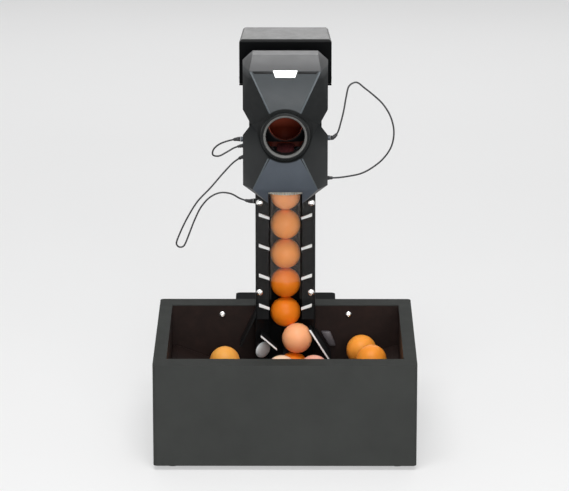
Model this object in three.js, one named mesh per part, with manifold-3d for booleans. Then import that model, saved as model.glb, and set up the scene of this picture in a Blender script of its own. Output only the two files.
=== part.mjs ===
// Table tennis robot: a ball box, a feed column, and a two-wheel launcher head that pans and tilts on top.
// Millimetres, +Z up. X is to the right as seen from the front, and the robot throws towards -Y.
// The origin is the middle of the footprint, on the surface that the feet stand on.
import * as THREE from "three";
import { mergeVertices } from "three/addons/utils/BufferGeometryUtils.js";
import { ConvexGeometry } from "three/addons/geometries/ConvexGeometry.js";
import Module from "manifold-3d";

const wasm = await Module();
wasm.setup();

// Clearances
const seatGap = 0.3; // between faces that meet
const runningGap = 0.5; // between faces that turn past each other
const overrun = 2; // how far a cutter passes the face that it cuts
const overlap = 0.6; // how far two joined shapes run into each other

// Balls
const ballDiameter = 40;
const ballGap = 0.3;
const leaningGap = 0.05; // between balls that lean on each other
const ballDetail = 2; // how often the round form's facets are divided

// Ball box
const boxWidth = 335;
const boxDepth = 290;
const boxTop = 140;
const boxWall = 3;
const boxCornerRadius = 5;
const sideRim = 16.8;
const endRim = 28;
const ledgeDepth = 4;
const ledgeHeight = 3;
const basePlateThickness = 2.5;
const driveWindowEdge = 6; // from the drive housing's outside to the window in the box

// Feet
const footHeight = 6;
const footRadius = 11;
const footInset = 24;
const footRound = 2;

// Ball tray
const trayThickness = 2.5;
const trayEdgeHeight = 84;
const trayLip = 6.5;
const troughHalfWidth = 24;
const troughFrontHeight = 82.2;
const troughBackHeight = 38;

// Ball channel, throat and column
const channelPlay = 2; // between a ball and the channel wall
const channelLead = 17; // from the well's back wall forward to the channel's axis
const columnHalfWidth = 39.5;
const columnLead = 15; // from the channel's axis forward to the column's front face
const columnDepth = 44;
const columnWall = 2.5;
const columnCornerRadius = 3;
const throatHeadroom = 13.7; // from the lowest ball's centre up to the throat's top
const stackRise = 70.463; // from the ball below the mouth up to the column's lowest ball
const throatFloor = 3;
const wingThickness = 2.5;
const wingRoot = 5; // height of a wing where it leaves the throat
const wingTopDrop = 12; // from the throat's top down to a wing's root
const wingDrop = 46;
const wingReach = 21;
const mouthDrop = 20; // from the throat's top down to its mouth
const mouthDepth = 20; // how far the flare of the mouth runs back
const guideLead = 15; // how far the fin and the guide stand out before the throat
const finStart = [7, -17.5]; // from the column's side and from the mouth's top
const finEnd = [-11, -36]; // from the middle and from the mouth's top
const guideInset = 8.5; // from the column's side in to the guide's upper edge
const guideDrop = 30; // from the throat's top down to the guide's upper edge
const guideFall = 43.5; // height of the guide
const topBallDrop = 6.5; // from the column's top down to the top ball's centre
const columnBallCount = 5;

// Clear cover
const coverThickness = 2;
const coverSideInset = 1; // from the column's side to the cover's
const coverFootRise = 8; // above the throat's top
const bulgeRise = 25; // from the cover's foot up to the bulge's
const bulgePlay = 2.4; // between a ball and the inside of the bulge
const coverTopLead = 0.5;
const ribRises = [87, 45, 4]; // above the bulge's foot
const throatRibDrop = 5; // below the throat's top
const ribLead = 3; // from the channel's wall to a rib
const ribSideInset = 5.5; // from the column's side to a rib
const ribRise = 3;
const ribThickness = 3.2;
const ribProud = 2.6;
const coverScrewSideInset = 5.5; // from the column's side
const coverScrewInsets = [10, 13]; // from the cover's foot, and from the column's top

// Screws
const screwHeadRadius = 4.4;
const screwHeadThickness = 2.4;
const coverScrewRadius = 1.5;
const coverScrewLength = 8;
const wallScrewRadius = 2;
const wallScrewOffset = 84;
const wallScrewDrop = 13; // from the box's top
const wallBossRadius = 5;
const screwPlay = 0.3;

// Drive housing behind the box
const housingDepth = 50;
const housingHalfWidth = 67;
const housingFoot = 20;
const housingDrop = 6; // from the box's top down to the housing's
const housingWall = 3;
const housingCornerRadius = 6;
const housingFlangeHalfWidth = 95;
const housingFlangeHeight = 34;
const housingFlangeThickness = 4;
const lugClearance = 1; // past the column's side
const feedMotorPlay = 0.7; // past the feed motor's end
const lugThickness = 5;
const lugHeight = 24;
const panelPocket = 2.6; // how deep the inlet and the switch are let into the back
const panelHalfWidth = 18;
const panelHalfHeight = 13;

// Feed wheel
const feedAxisBack = 12; // behind the column
const feedBallPlay = 4.455; // between the fingertips' circle and the column's lowest ball
const feedTipRadius = 42;
const feedHubRadius = 9;
const feedHubHalfWidth = 9;
const feedFingerHalfWidth = 4;
const feedFingerRoot = 5.6;
const feedFingerTip = 3.6;
const feedFingerCount = 4;
const feedFingerTurn = 45; // degrees from the first finger to straight back
const fingerSlotPlay = 1;
const feedShaftRadius = 3;
const feedShaftEnd = 3.5; // past the lug, or into the motor
const feedBoreDepth = 7;
const feedMotorRadius = 14;
const feedGearboxLength = 9;
const feedCanRadius = 12.5;

// Control board, power inlet and switch
const boardThickness = 1.6;
const boardPlay = 2; // from the housing's side to the board's edge
const boardLugPlay = 1.5; // from the board's other edge to the lug
const boardHeadroom = 15; // above the board, inside the housing
const boardFoot = 38;
const boardStandoff = 7;
const standoffRadius = 3;
const standoffInset = 6; // from a board's end to the middle of its standoff
const chipSize = 10;
const chipHeight = 3;
const capacitorHeight = 12;
const capacitorRadius = 4.5;
const capacitorUp = 13.5;
const inletInset = 31; // from the housing's side
const inletHeight = 42;
const inletRadius = 5.5;
const inletBore = 3.2;
const inletPinRadius = 1;
const inletDepth = 12;
const inletFlangeRadius = 7.5;
const rockerInset = 15;
const rockerHeight = 42;
const rockerWidth = 13;
const rockerTall = 19;
const rockerDepth = 9;
const rockerProud = 2;
const rockerPlay = 0.8;
const rockerTravel = 12; // degrees

// Pan ring and its drive
const panModule = 1.2;
const panTeeth = 50;
const panPinionTeeth = 10;
const panRingHeight = 8;
const panRingBore = 25;
const panBacklash = 0.4;
const panMotorRadius = 11;
const panMotorHeight = 28;
const panPinionHeight = 6.5;
const panShaftRadius = 1.5;
const panShaftDepth = 4.4; // into its motor
const panBoreDepth = 6;
const collarWall = 2.2;

// Gear teeth, as shares of the module and of the angle between teeth
const toothTopShare = 0.85;
const toothFootShare = 1.2;
const toothRootShare = 0.36;
const toothTipShare = 0.15;

// Yoke
const yokePlateThickness = 4.4;
const yokeFrontRadius = 31;
const yokeArmInner = 44.3;
const yokeArmThickness = 2.8;
const yokeArmLead = 19; // from the pan axis forward to an arm's front edge
const yokeBackReach = 56; // from the pan axis to the back wall's outside
const yokeBackRise = 47.4; // from the plate's underside to the back wall's top
const yokeBackWall = 3;
const yokeEyeRadius = 8;
const yokeEyeFrom = 45; // degrees round the eye, from straight back
const yokeEyeTo = 225;
const yokeBackRun = 18; // length of the arm's level top at the back
const yokeFrontDrop = 27; // from the tilt axis to the top of the arm's front edge
const pinRadius = 3;

// Feed elbow
const elbowWall = 2.5;
const elbowPlay = 1.5;
const elbowBend = 30;
const elbowSteps = 7;
const elbowReach = 8; // past the tilt axis
const elbowFlangeRadius = 29;
const elbowFlangeThickness = 3;

// Tilt drive
const tiltModule = 1;
const sectorTeeth = 44; // on a full circle
const sectorSpan = 9; // teeth on each side of the middle one
const sectorThickness = 4;
const sectorCutReach = 12; // past the teeth, for the cutter that leaves the sector
const wormRootRadius = 3.1;
const wormTipRadius = 4.8;
const wormTurns = 4;
const wormEndTurns = 0.5; // bare core past each end of the thread
const wormSteps = 12; // to a turn
const wormRootShare = 0.26; // of the pitch, each side of the thread's middle
const wormTipShare = 0.1;
const wormBacklash = 0.35;
const tiltMotorRadius = 6;
const tiltMotorHeight = 30;
const tiltMotorDrop = 24; // from the worm's middle down to the motor
const tiltShelfThickness = 3;
const tiltShaftDepth = 3.3; // into its motor
const tiltBoreDepth = 6;

// Launcher head
const exitRise = 89.4; // from the yoke's underside to the middle of the exit
const tiltAxisLead = 27; // from the pan axis forward to the tilt axis
const headWall = 2.5;
const noseLead = 78; // from the tilt axis forward to the exit ring's face
const partingLead = 28; // from the tilt axis forward to the joint between the two shells
const rearLead = 5.5; // from the tilt axis forward to the head's back
const exitBore = 25;
const exitRingRadius = 31.5;
const exitRingThickness = 3.7;
const exitRingEdge = 1.2;
const noseBack = 60;
const headTop = 102;
const headShoulder = 90;
const headHalfWidth = 55;
const headTopHalfWidth = 42;
const waistTop = 24;
const waistHeight = 4;
const waistHalfWidth = 44;
const waistFoot = -10;
const hipHeight = -77;
const chinHeight = -95;
const chinHalfWidth = 22;
const panelLead = 75;
const panelTop = 84;
const panelTopHalfWidth = 46;
const panelTopLead = 66;
const panelFoot = 26;
const panelFootHalfWidth = 18.5;
const browLead = 52;
const lowerPanelTop = -26;
const lowerPanelTopHalfWidth = 17.5;
const lowerPanelFoot = -72;
const lowerPanelHalfWidth = 42;
const lowerPanelLead = 68;
const chinLead = 52;
const rearTop = 88;
const rearShoulder = 78;
const rearHalfWidth = 50;
const rearUpperFoot = 32;
const rearLowerTop = -26;
const rearLowerKnee = -52;
const rearHipLead = 16;
const rearChinLead = 22;
const rearChinHeight = -93;
const windowHalf = 31;
const earInner = 39;
const earThickness = 4.5;
const earLead = 13.5; // from the tilt axis forward to where an ear starts to taper
const earFoot = -20;
const earKnee = -24;
const earTurn = 108; // degrees of round on each side of straight back
const statusWidth = 32;
const statusHeight = 9.5;
const statusThickness = 1.2;
const statusDrop = 4; // down the upper panel from the brow to the window's middle

// Launcher wheels and motors
const wheelRadius = 26.5;
const wheelHalfWidth = 11;
const wheelLead = 38;
const wheelOffset = 45.5;
const tyreThickness = 5;
const tyreCrown = 1.2;
const hubWeb = 5;
const hubRim = 2.5;
const hubBossRadius = 6;
const wheelShaftRadius = 2;
const wheelShaftDepth = 6;
const motorRadius = 15;
const motorLength = 21;
const motorBore = 2.4;
const mountGap = 1.3; // between the wheel and its motor's bracket
const mountThickness = 2.5;
const mountLead = 9; // of a bracket past its motor's axis

// Hood behind the head
const hoodFrontHalfWidth = 60;
const hoodBackHalfWidth = 56;
const hoodFront = 9; // behind the tilt axis
const hoodDepth = 78;
const hoodFoot = 47;
const hoodTop = 108;
const hoodWall = 2.5;
const hoodEdge = 3;
const neckHalfWidth = 44;
const neckFoot = 52;
const neckTop = 86;
const headBoardHalfWidth = 40;
const headBoardDepth = 60;
const headBoardStandoff = 8;
const headChipPitch = 20;
const headChipHeight = 4;

// Cables
const cableRadius = 1.1;
const cableSides = 8;
const cableStep = 6; // along the cable between two rings of corners
const glandRadius = 3.4;
const glandLength = 3;
const yokeGlandLength = 4.7;
const columnGlandPlace = [9, -18]; // behind the pan axis, and from the column's top
const yokeGlandRightPlace = [-11, 10.4]; // behind the pan axis, and above the yoke's underside
const yokeGlandLeftPlace = [-9, 53.4];
const yokeGlandLowPlace = [9, 33.4];
const headGlandRightPlace = [-18, -16]; // behind the tilt axis, and above it
const headGlandLeftPlace = [-18, -18];

// Cable routes, from gland to gland.
const cableRoutes = {
  head_cable_right: [
    [58.3, 30, 386],
    [61.5, 30, 386],
    [67.5, 33, 391.5],
    [72, 39, 404],
    [76, 43, 420],
    [79, 46, 437],
    [83, 48, 451],
    [92, 50, 455],
    [103, 51, 447],
    [115, 52, 437],
    [127, 53, 425],
    [137, 54, 408],
    [141.5, 55, 388],
    [138.5, 56, 368],
    [128, 57, 351],
    [113, 58, 338],
    [99, 60, 330],
    [84, 62, 326],
    [68, 63.8, 323.3],
    [57, 64, 323],
    [52.1, 64, 323],
  ],
  head_cable_left: [
    [-58.3, 30, 384],
    [-62, 30, 384],
    [-73, 34, 381],
    [-86, 42, 374],
    [-94, 50, 364.5],
    [-94.5, 57, 355.5],
    [-87, 62, 353],
    [-76, 65, 358],
    [-66, 66, 363.5],
    [-56, 66, 366],
    [-52.1, 66, 366],
  ],
  pan_cable: [
    [-52.1, 84, 346],
    [-56.5, 84, 346],
    [-67, 83, 340],
    [-80, 81, 327],
    [-99, 79, 305],
    [-116, 77, 287],
    [-130, 76, 264],
    [-139, 75.5, 245],
    [-143.8, 76, 232.3],
    [-144.1, 76.4, 229.3],
    [-142.9, 76.7, 226.6],
    [-140.5, 77.1, 224.8],
    [-137.5, 77.5, 224.5],
    [-134.8, 77.8, 225.7],
    [-133, 78.2, 228.1],
    [-127, 79, 243],
    [-120, 80, 261],
    [-111, 81, 279],
    [-99, 82, 292],
    [-86, 83, 297.5],
    [-72, 83.7, 296],
    [-59, 84, 289],
    [-48, 84, 286],
    [-42.8, 84, 286],
  ],
};

// Balls in the trough: how far right of the middle, and how far before the channel's axis.
const underBallPlace = [11, 21];
const middleBallPlace = [-5, 57.5];
const nearBallPlace = [38, 57];
const nextBallLean = [10.3, -10.3, 4.6]; // which way the ball on top of the one below the mouth leans
// Balls on the side slopes: which side, and how far before the channel's axis.
const slopeBalls = [
  ["tray_ball_left", -1, 45],
  ["tray_ball_right", 1, 20],
  ["tray_ball_far_right", 1, 77],
];
// How far each of them lies from the wing's end to the well's wall.
const slopeBallShares = [0.216, 0.449, 0.582];

// Facets
const smallSides = 8;
const coarseSides = 16;
const roundSides = 24;
const fineSides = 32;
const cornerSegments = 3;
const eyeSegments = 8;
const tipSegments = 6;

// Places that follow from the sizes above
const ballRadius = ballDiameter / 2;
const ballPitch = ballDiameter + ballGap;
const channelRadius = ballRadius + channelPlay;
const boxFront = -(boxDepth + housingDepth) / 2;
const boxBack = boxFront + boxDepth;
const wellFront = boxFront + endRim;
const wellBack = boxBack - endRim;
const wellHalfWidth = boxWidth / 2 - sideRim;
const baseTop = footHeight + basePlateThickness;
const channelY = wellBack - channelLead;
const columnFront = channelY - columnLead;
const columnBack = columnFront + columnDepth;
const feedAxisY = columnBack + feedAxisBack;
const housingBack = boxBack + housingDepth;
const housingFront = boxBack + seatGap;
const tiltAxisY = channelY - tiltAxisLead;
const yokeOuter = yokeArmInner + yokeArmThickness;
const underBallY = channelY - underBallPlace[1];
const lowestBallHeight = restingHeight(underBallPlace[0], underBallY) + stackRise;
const feedReach = ballRadius + feedTipRadius + feedBallPlay;
const feedAxisHeight = lowestBallHeight - Math.sqrt(feedReach ** 2 - (feedAxisY - channelY) ** 2);
const throatTop = lowestBallHeight + throatHeadroom;
const wingTopHeight = throatTop - wingTopDrop;
const topBallCentre = lowestBallHeight + (columnBallCount - 1) * ballPitch;
const columnTop = topBallCentre + topBallDrop;
const panPlane = columnTop + seatGap + panRingHeight + seatGap;
const exitHeight = panPlane + exitRise;
const mouthTop = throatTop - mouthDrop;
const coverFoot = throatTop + coverFootRise;
const bulgeFoot = coverFoot + bulgeRise;
const coverScrewHeights = [coverFoot + coverScrewInsets[0], columnTop - coverScrewInsets[1]];
const coverScrewOffset = columnHalfWidth - coverScrewSideInset;
const wallScrewHeight = boxTop - wallScrewDrop;
const housingTop = boxTop - housingDrop;
const boardHeight = housingTop - housingWall - boardHeadroom - boardFoot;
const housingInside = housingHalfWidth - housingWall;
const lugOuter = columnHalfWidth + lugClearance;
const lugInner = lugOuter - lugThickness;
const feedMotorLength = housingInside - feedMotorPlay - lugOuter - seatGap;
const boardHalfWidth = (housingInside - boardPlay - lugOuter - boardLugPlay) / 2;
const boardOffset = -(housingInside - boardPlay - boardHalfWidth);
const inletOffset = housingHalfWidth - inletInset;
const rockerOffset = housingHalfWidth - rockerInset;

// Where the cables meet their glands: the gland's outer face, in the robot's frame.
function glandAt(x, [back, up], y, z, length = glandLength) {
  return [x + Math.sign(x) * length, y + back, z + up];
}

const columnGland = glandAt(-columnHalfWidth, columnGlandPlace, channelY, columnTop);
const yokeGlandRight = glandAt(yokeOuter, yokeGlandRightPlace, channelY, panPlane, yokeGlandLength);
const yokeGlandLeft = glandAt(-yokeOuter, yokeGlandLeftPlace, channelY, panPlane, yokeGlandLength);
const yokeGlandLow = glandAt(-yokeOuter, yokeGlandLowPlace, channelY, panPlane, yokeGlandLength);
const headGlandRight = glandAt(headHalfWidth, headGlandRightPlace, tiltAxisY, exitHeight);
const headGlandLeft = glandAt(-headHalfWidth, headGlandLeftPlace, tiltAxisY, exitHeight);

// Turns a closed three.js geometry into a solid that can be cut and joined.
function solid(geometry) {
  const bare = geometry.clone();
  bare.deleteAttribute("normal");
  bare.deleteAttribute("uv");
  const merged = mergeVertices(bare);
  const made = new wasm.Manifold(
    new wasm.Mesh({
      numProp: 3,
      vertProperties: new Float32Array(merged.attributes.position.array),
      triVerts: new Uint32Array(merged.index.array),
    }),
  );
  if (made.volume() <= 0) {
    throw new Error("a solid is empty or inside out");
  }
  return made;
}

// Turns a solid back into a flat-shaded three.js geometry.
function geometryOf(made) {
  const mesh = made.getMesh();
  const geometry = new THREE.BufferGeometry();
  geometry.setAttribute("position", new THREE.BufferAttribute(mesh.vertProperties, 3));
  geometry.setIndex(new THREE.BufferAttribute(mesh.triVerts, 1));
  const flat = geometry.toNonIndexed();
  flat.computeVertexNormals();
  return flat;
}

function box(x0, x1, y0, y1, z0, z1) {
  const geometry = new THREE.BoxGeometry(x1 - x0, y1 - y0, z1 - z0);
  geometry.translate((x0 + x1) / 2, (y0 + y1) / 2, (z0 + z1) / 2);
  return solid(geometry);
}

// A round bar along an axis, "x", "y" or "z", between two places on it, with its centre at (a, b) across it.
function rod(axis, radius, from, to, a, b, sides = roundSides) {
  const geometry = new THREE.CylinderGeometry(radius, radius, to - from, sides);
  const middle = (from + to) / 2;
  if (axis === "x") {
    geometry.rotateZ(-Math.PI / 2);
    geometry.translate(middle, a, b);
  } else if (axis === "y") {
    geometry.translate(a, middle, b);
  } else {
    geometry.rotateX(Math.PI / 2);
    geometry.translate(a, b, middle);
  }
  return solid(geometry);
}

function outline(points) {
  return new THREE.Shape(points.map(([a, b]) => new THREE.Vector2(a, b)));
}

function roundedRectangle(x0, x1, y0, y1, radius) {
  const shape = new THREE.Shape();
  shape.moveTo(x0 + radius, y0);
  shape.lineTo(x1 - radius, y0);
  shape.absarc(x1 - radius, y0 + radius, radius, -Math.PI / 2, 0);
  shape.lineTo(x1, y1 - radius);
  shape.absarc(x1 - radius, y1 - radius, radius, 0, Math.PI / 2);
  shape.lineTo(x0 + radius, y1);
  shape.absarc(x0 + radius, y1 - radius, radius, Math.PI / 2, Math.PI);
  shape.lineTo(x0, y0 + radius);
  shape.absarc(x0 + radius, y0 + radius, radius, Math.PI, Math.PI * 1.5);
  return shape;
}

// An outline pushed along an axis: (x, y) along z, (y, z) along x, or (x, z) along y.
function prism(shape, axis, from, to, curveSegments = cornerSegments) {
  const depth = to - from;
  const geometry = new THREE.ExtrudeGeometry(shape, { depth, bevelEnabled: false, curveSegments });
  if (axis === "z") {
    geometry.translate(0, 0, from);
  } else if (axis === "x") {
    geometry.rotateX(Math.PI / 2);
    geometry.rotateZ(Math.PI / 2);
    geometry.translate(from, 0, 0);
  } else {
    geometry.rotateX(Math.PI / 2);
    geometry.translate(0, to, 0);
  }
  return solid(geometry);
}

function hull(points) {
  return solid(new ConvexGeometry(points.map(([x, y, z]) => new THREE.Vector3(x, y, z))));
}

// Both sides of a mirror-symmetric set of points.
function mirrored(points) {
  return points.flatMap(([x, y, z]) => [
    [x, y, z],
    [-x, y, z],
  ]);
}

function join(first, ...others) {
  return others.reduce((sum, next) => sum.add(next), first);
}

function cut(first, ...others) {
  return others.reduce((rest, next) => rest.subtract(next), first);
}

// A profile of (radius, height) points turned round the z axis.
function turned(profile, sides = roundSides) {
  const geometry = new THREE.LatheGeometry(
    profile.map(([r, h]) => new THREE.Vector2(r, h)),
    sides,
  );
  geometry.rotateX(Math.PI / 2);
  return geometry;
}

// The outline of a spur gear: straight-flanked teeth that thin towards the tip.
function gearOutline(teeth, module, backlash, turn = 0) {
  const pitchRadius = (teeth * module) / 2;
  const rootRadius = pitchRadius - toothFootShare * module;
  const tipRadius = pitchRadius + toothTopShare * module;
  const pitchAngle = (2 * Math.PI) / teeth;
  const slack = backlash / pitchRadius;
  const points = [];
  for (let tooth = 0; tooth < teeth; tooth += 1) {
    const middle = turn + tooth * pitchAngle;
    const rootHalf = toothRootShare * pitchAngle - slack / 2;
    const tipHalf = toothTipShare * pitchAngle;
    for (const [radius, angle] of [
      [rootRadius, middle - rootHalf],
      [tipRadius, middle - tipHalf],
      [tipRadius, middle + tipHalf],
      [rootRadius, middle + rootHalf],
    ]) {
      points.push([radius * Math.cos(angle), radius * Math.sin(angle)]);
    }
  }
  return outline(points);
}

const robot = new THREE.Group();

const coat = (color, roughness, metalness) => new THREE.MeshStandardMaterial({ color, roughness, metalness });
const plastic = (color, roughness = 0.55) => coat(color, roughness, 0);
const metal = (color, roughness = 0.35) => coat(color, roughness, 1);
const charcoal = plastic(0x404142);
const black = plastic(0x17181a, 0.4);
const darkGrey = plastic(0x3b3f42, 0.45);
const paleGrey = plastic(0x8b8d8f, 0.5);
const clear = coat(0xd8dcdc, 0.15, 0);
const tubeRed = plastic(0x70241c);
clear.transparent = true;
clear.opacity = 0.35;
const orange = plastic(0xf0913a, 0.5);
const white = plastic(0xf2f2ee, 0.4);
const rubberBlack = plastic(0x222222, 0.9);
const rubberRed = plastic(0x5a1f1c, 0.85);
const steel = metal(0xc9cbcd);
const green = plastic(0x1f5a3a, 0.5);
const nylon = plastic(0xd9d6cc, 0.5);

function add(name, shape, material, parent = robot) {
  const geometry = shape.isBufferGeometry ? shape : geometryOf(shape);
  const mesh = new THREE.Mesh(geometry, material);
  mesh.name = name;
  parent.add(mesh);
  return mesh;
}

// Ball box: an outer skirt, a broad flat rim and an inner well, open below, where the base plate closes it.
function makeBox() {
  const halfWidth = boxWidth / 2;
  const underside = footHeight - overrun;
  const body = prism(
    roundedRectangle(-halfWidth, halfWidth, boxFront, boxBack, boxCornerRadius),
    "z",
    footHeight,
    boxTop,
  );
  const hollow = box(
    -halfWidth + boxWall,
    halfWidth - boxWall,
    boxFront + boxWall,
    boxBack - boxWall,
    underside,
    boxTop - boxWall,
  );
  const wellBlock = box(
    -wellHalfWidth - boxWall,
    wellHalfWidth + boxWall,
    wellFront - boxWall,
    wellBack + boxWall,
    baseTop + seatGap,
    boxTop,
  );
  const well = box(-wellHalfWidth, wellHalfWidth, wellFront, wellBack, underside, boxTop + overrun);
  const ledgeTop = trayEdgeHeight - trayThickness - seatGap;
  const ledges = [-1, 1].map((side) => {
    const outer = side * (wellHalfWidth + overlap);
    const inner = side * (wellHalfWidth - ledgeDepth);
    const [x0, x1] = side < 0 ? [outer, inner] : [inner, outer];
    return box(x0, x1, wellFront - overlap, wellBack + overlap, ledgeTop - ledgeHeight, ledgeTop);
  });
  const bosses = [-1, 1].map((side) =>
    rod(
      "y",
      wallBossRadius,
      wellBack + overlap,
      boxBack - overlap,
      side * wallScrewOffset,
      wallScrewHeight,
      coarseSides,
    ),
  );
  const screwHoles = [-1, 1].map((side) =>
    rod(
      "y",
      wallScrewRadius + screwPlay,
      wellBack - overrun,
      boxBack + overrun,
      side * wallScrewOffset,
      wallScrewHeight,
      coarseSides,
    ),
  );
  const throatNotch = box(
    -columnHalfWidth - seatGap,
    columnHalfWidth + seatGap,
    wellBack - overrun,
    columnBack + seatGap,
    underside,
    boxTop + overrun,
  );
  const cavityHalfWidth = housingHalfWidth - housingWall;
  const driveWindow = box(
    -cavityHalfWidth,
    cavityHalfWidth,
    boxBack - boxWall - overrun,
    boxBack + overrun,
    housingFoot + driveWindowEdge,
    housingTop - driveWindowEdge,
  );
  const shell = join(cut(body, hollow), wellBlock.intersect(body));
  const walls = join(cut(shell, well), ...ledges, ...bosses);
  add("hopper_box", cut(walls, ...screwHoles, throatNotch, driveWindow), charcoal);
}

function makeBasePlate() {
  const inset = boxWall + seatGap;
  const plate = box(
    -boxWidth / 2 + inset,
    boxWidth / 2 - inset,
    boxFront + inset,
    boxBack - inset,
    footHeight,
    baseTop,
  );
  add("base_plate", plate, black);
}

function makeFeet() {
  const profile = [
    [0, 0],
    [footRadius - footRound, 0],
    [footRadius, footRound],
    [footRadius, footHeight - seatGap],
    [0, footHeight - seatGap],
  ];
  const places = [
    ["front_left_foot", -1, boxFront + footInset],
    ["front_right_foot", 1, boxFront + footInset],
    ["rear_left_foot", -1, boxBack - footInset],
    ["rear_right_foot", 1, boxBack - footInset],
  ];
  for (const [name, side, y] of places) {
    const foot = add(name, turned(profile, coarseSides), rubberBlack);
    foot.position.set(side * (boxWidth / 2 - footInset), y, 0);
  }
}

// Height of the tray's top surface over (x, y): side slopes that fall to a trough, which falls to the back.
function trayHeight(x, y) {
  const across = Math.max(0, Math.abs(x) - troughHalfWidth) / (wellHalfWidth - trayLip - troughHalfWidth);
  const along = (wellBack - y) / (wellBack - wellFront);
  const sideSlope = troughBackHeight + across * (trayEdgeHeight - troughBackHeight);
  const frontSlope =
    troughBackHeight +
    along * (troughFrontHeight - troughBackHeight) +
    across * (trayEdgeHeight - troughFrontHeight);
  return Math.max(sideSlope, frontSlope);
}

// A flat piece of the tray between its top corners, one sheet thick.
function traySlab(corners) {
  const below = corners.map(([x, y, z]) => [x, y, z - trayThickness]);
  return hull([...corners, ...below]);
}

function makeTray() {
  const halfWidth = wellHalfWidth - seatGap;
  const front = wellFront + seatGap;
  const back = wellBack - seatGap;
  const edge = wellHalfWidth - trayLip;
  const trough = traySlab([
    [-troughHalfWidth, front, troughFrontHeight],
    [troughHalfWidth, front, troughFrontHeight],
    [-troughHalfWidth, back, troughBackHeight],
    [troughHalfWidth, back, troughBackHeight],
  ]);
  const sides = [-1, 1].flatMap((side) => [
    traySlab([
      [side * (troughHalfWidth - overlap), back, troughBackHeight],
      [side * edge, back, trayEdgeHeight],
      [side * edge, front, trayEdgeHeight],
    ]),
    traySlab([
      [side * (troughHalfWidth - overlap), back, troughBackHeight],
      [side * edge, front, trayEdgeHeight],
      [side * (troughHalfWidth - overlap), front, troughFrontHeight],
    ]),
    traySlab([
      [side * (edge - overlap), front, trayEdgeHeight],
      [side * (edge - overlap), back, trayEdgeHeight],
      [side * halfWidth, front, trayEdgeHeight],
      [side * halfWidth, back, trayEdgeHeight],
    ]),
  ]);
  const tongue = traySlab([
    [-channelRadius, columnFront, trayHeight(0, columnFront)],
    [channelRadius, columnFront, trayHeight(0, columnFront)],
    [-channelRadius, columnBack, trayHeight(0, columnBack)],
    [channelRadius, columnBack, trayHeight(0, columnBack)],
  ]);
  const tall = boxTop;
  const webs = cut(
    box(
      -columnHalfWidth - seatGap,
      columnHalfWidth + seatGap,
      columnFront - seatGap,
      columnBack + overrun,
      0,
      tall,
    ),
    rod("z", channelRadius - seatGap, -overrun, tall + overrun, 0, channelY),
    box(
      -channelRadius + seatGap,
      channelRadius - seatGap,
      columnFront - overrun,
      channelY,
      -overrun,
      tall + overrun,
    ),
  );
  add("ball_tray", cut(join(trough, ...sides, tongue), webs), charcoal);
}

// The outline that the throat and the column share: a box with an open-fronted round channel.
function columnProfile(from, to) {
  const body = prism(
    roundedRectangle(-columnHalfWidth, columnHalfWidth, columnFront, columnBack, columnCornerRadius),
    "z",
    from,
    to,
  );
  const channel = join(
    rod("z", channelRadius, from - overrun, to + overrun, 0, channelY),
    box(-channelRadius, channelRadius, columnFront - overrun, channelY, from - overrun, to + overrun),
  );
  return cut(body, channel);
}

function ducts(from, to) {
  const inner = channelRadius + columnWall;
  const outer = columnHalfWidth - columnWall;
  return [
    box(-outer, -inner, columnFront + columnWall, columnBack - columnWall, from, to),
    box(inner, outer, columnFront + columnWall, columnBack - columnWall, from, to),
  ];
}

// A slanted rib on each side, its outer end higher, standing forward of the face that carries it.
function ribPair(height, face) {
  const ribInner = channelRadius + ribLead;
  const ribOuter = columnHalfWidth - ribSideInset;
  return [-1, 1].map((side) => {
    const shape = outline([
      [side * ribInner, height - ribThickness / 2],
      [side * ribOuter, height + ribRise - ribThickness / 2],
      [side * ribOuter, height + ribRise + ribThickness / 2],
      [side * ribInner, height + ribThickness / 2],
    ]);
    return prism(shape, "y", face - ribProud, face + overlap);
  });
}

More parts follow.
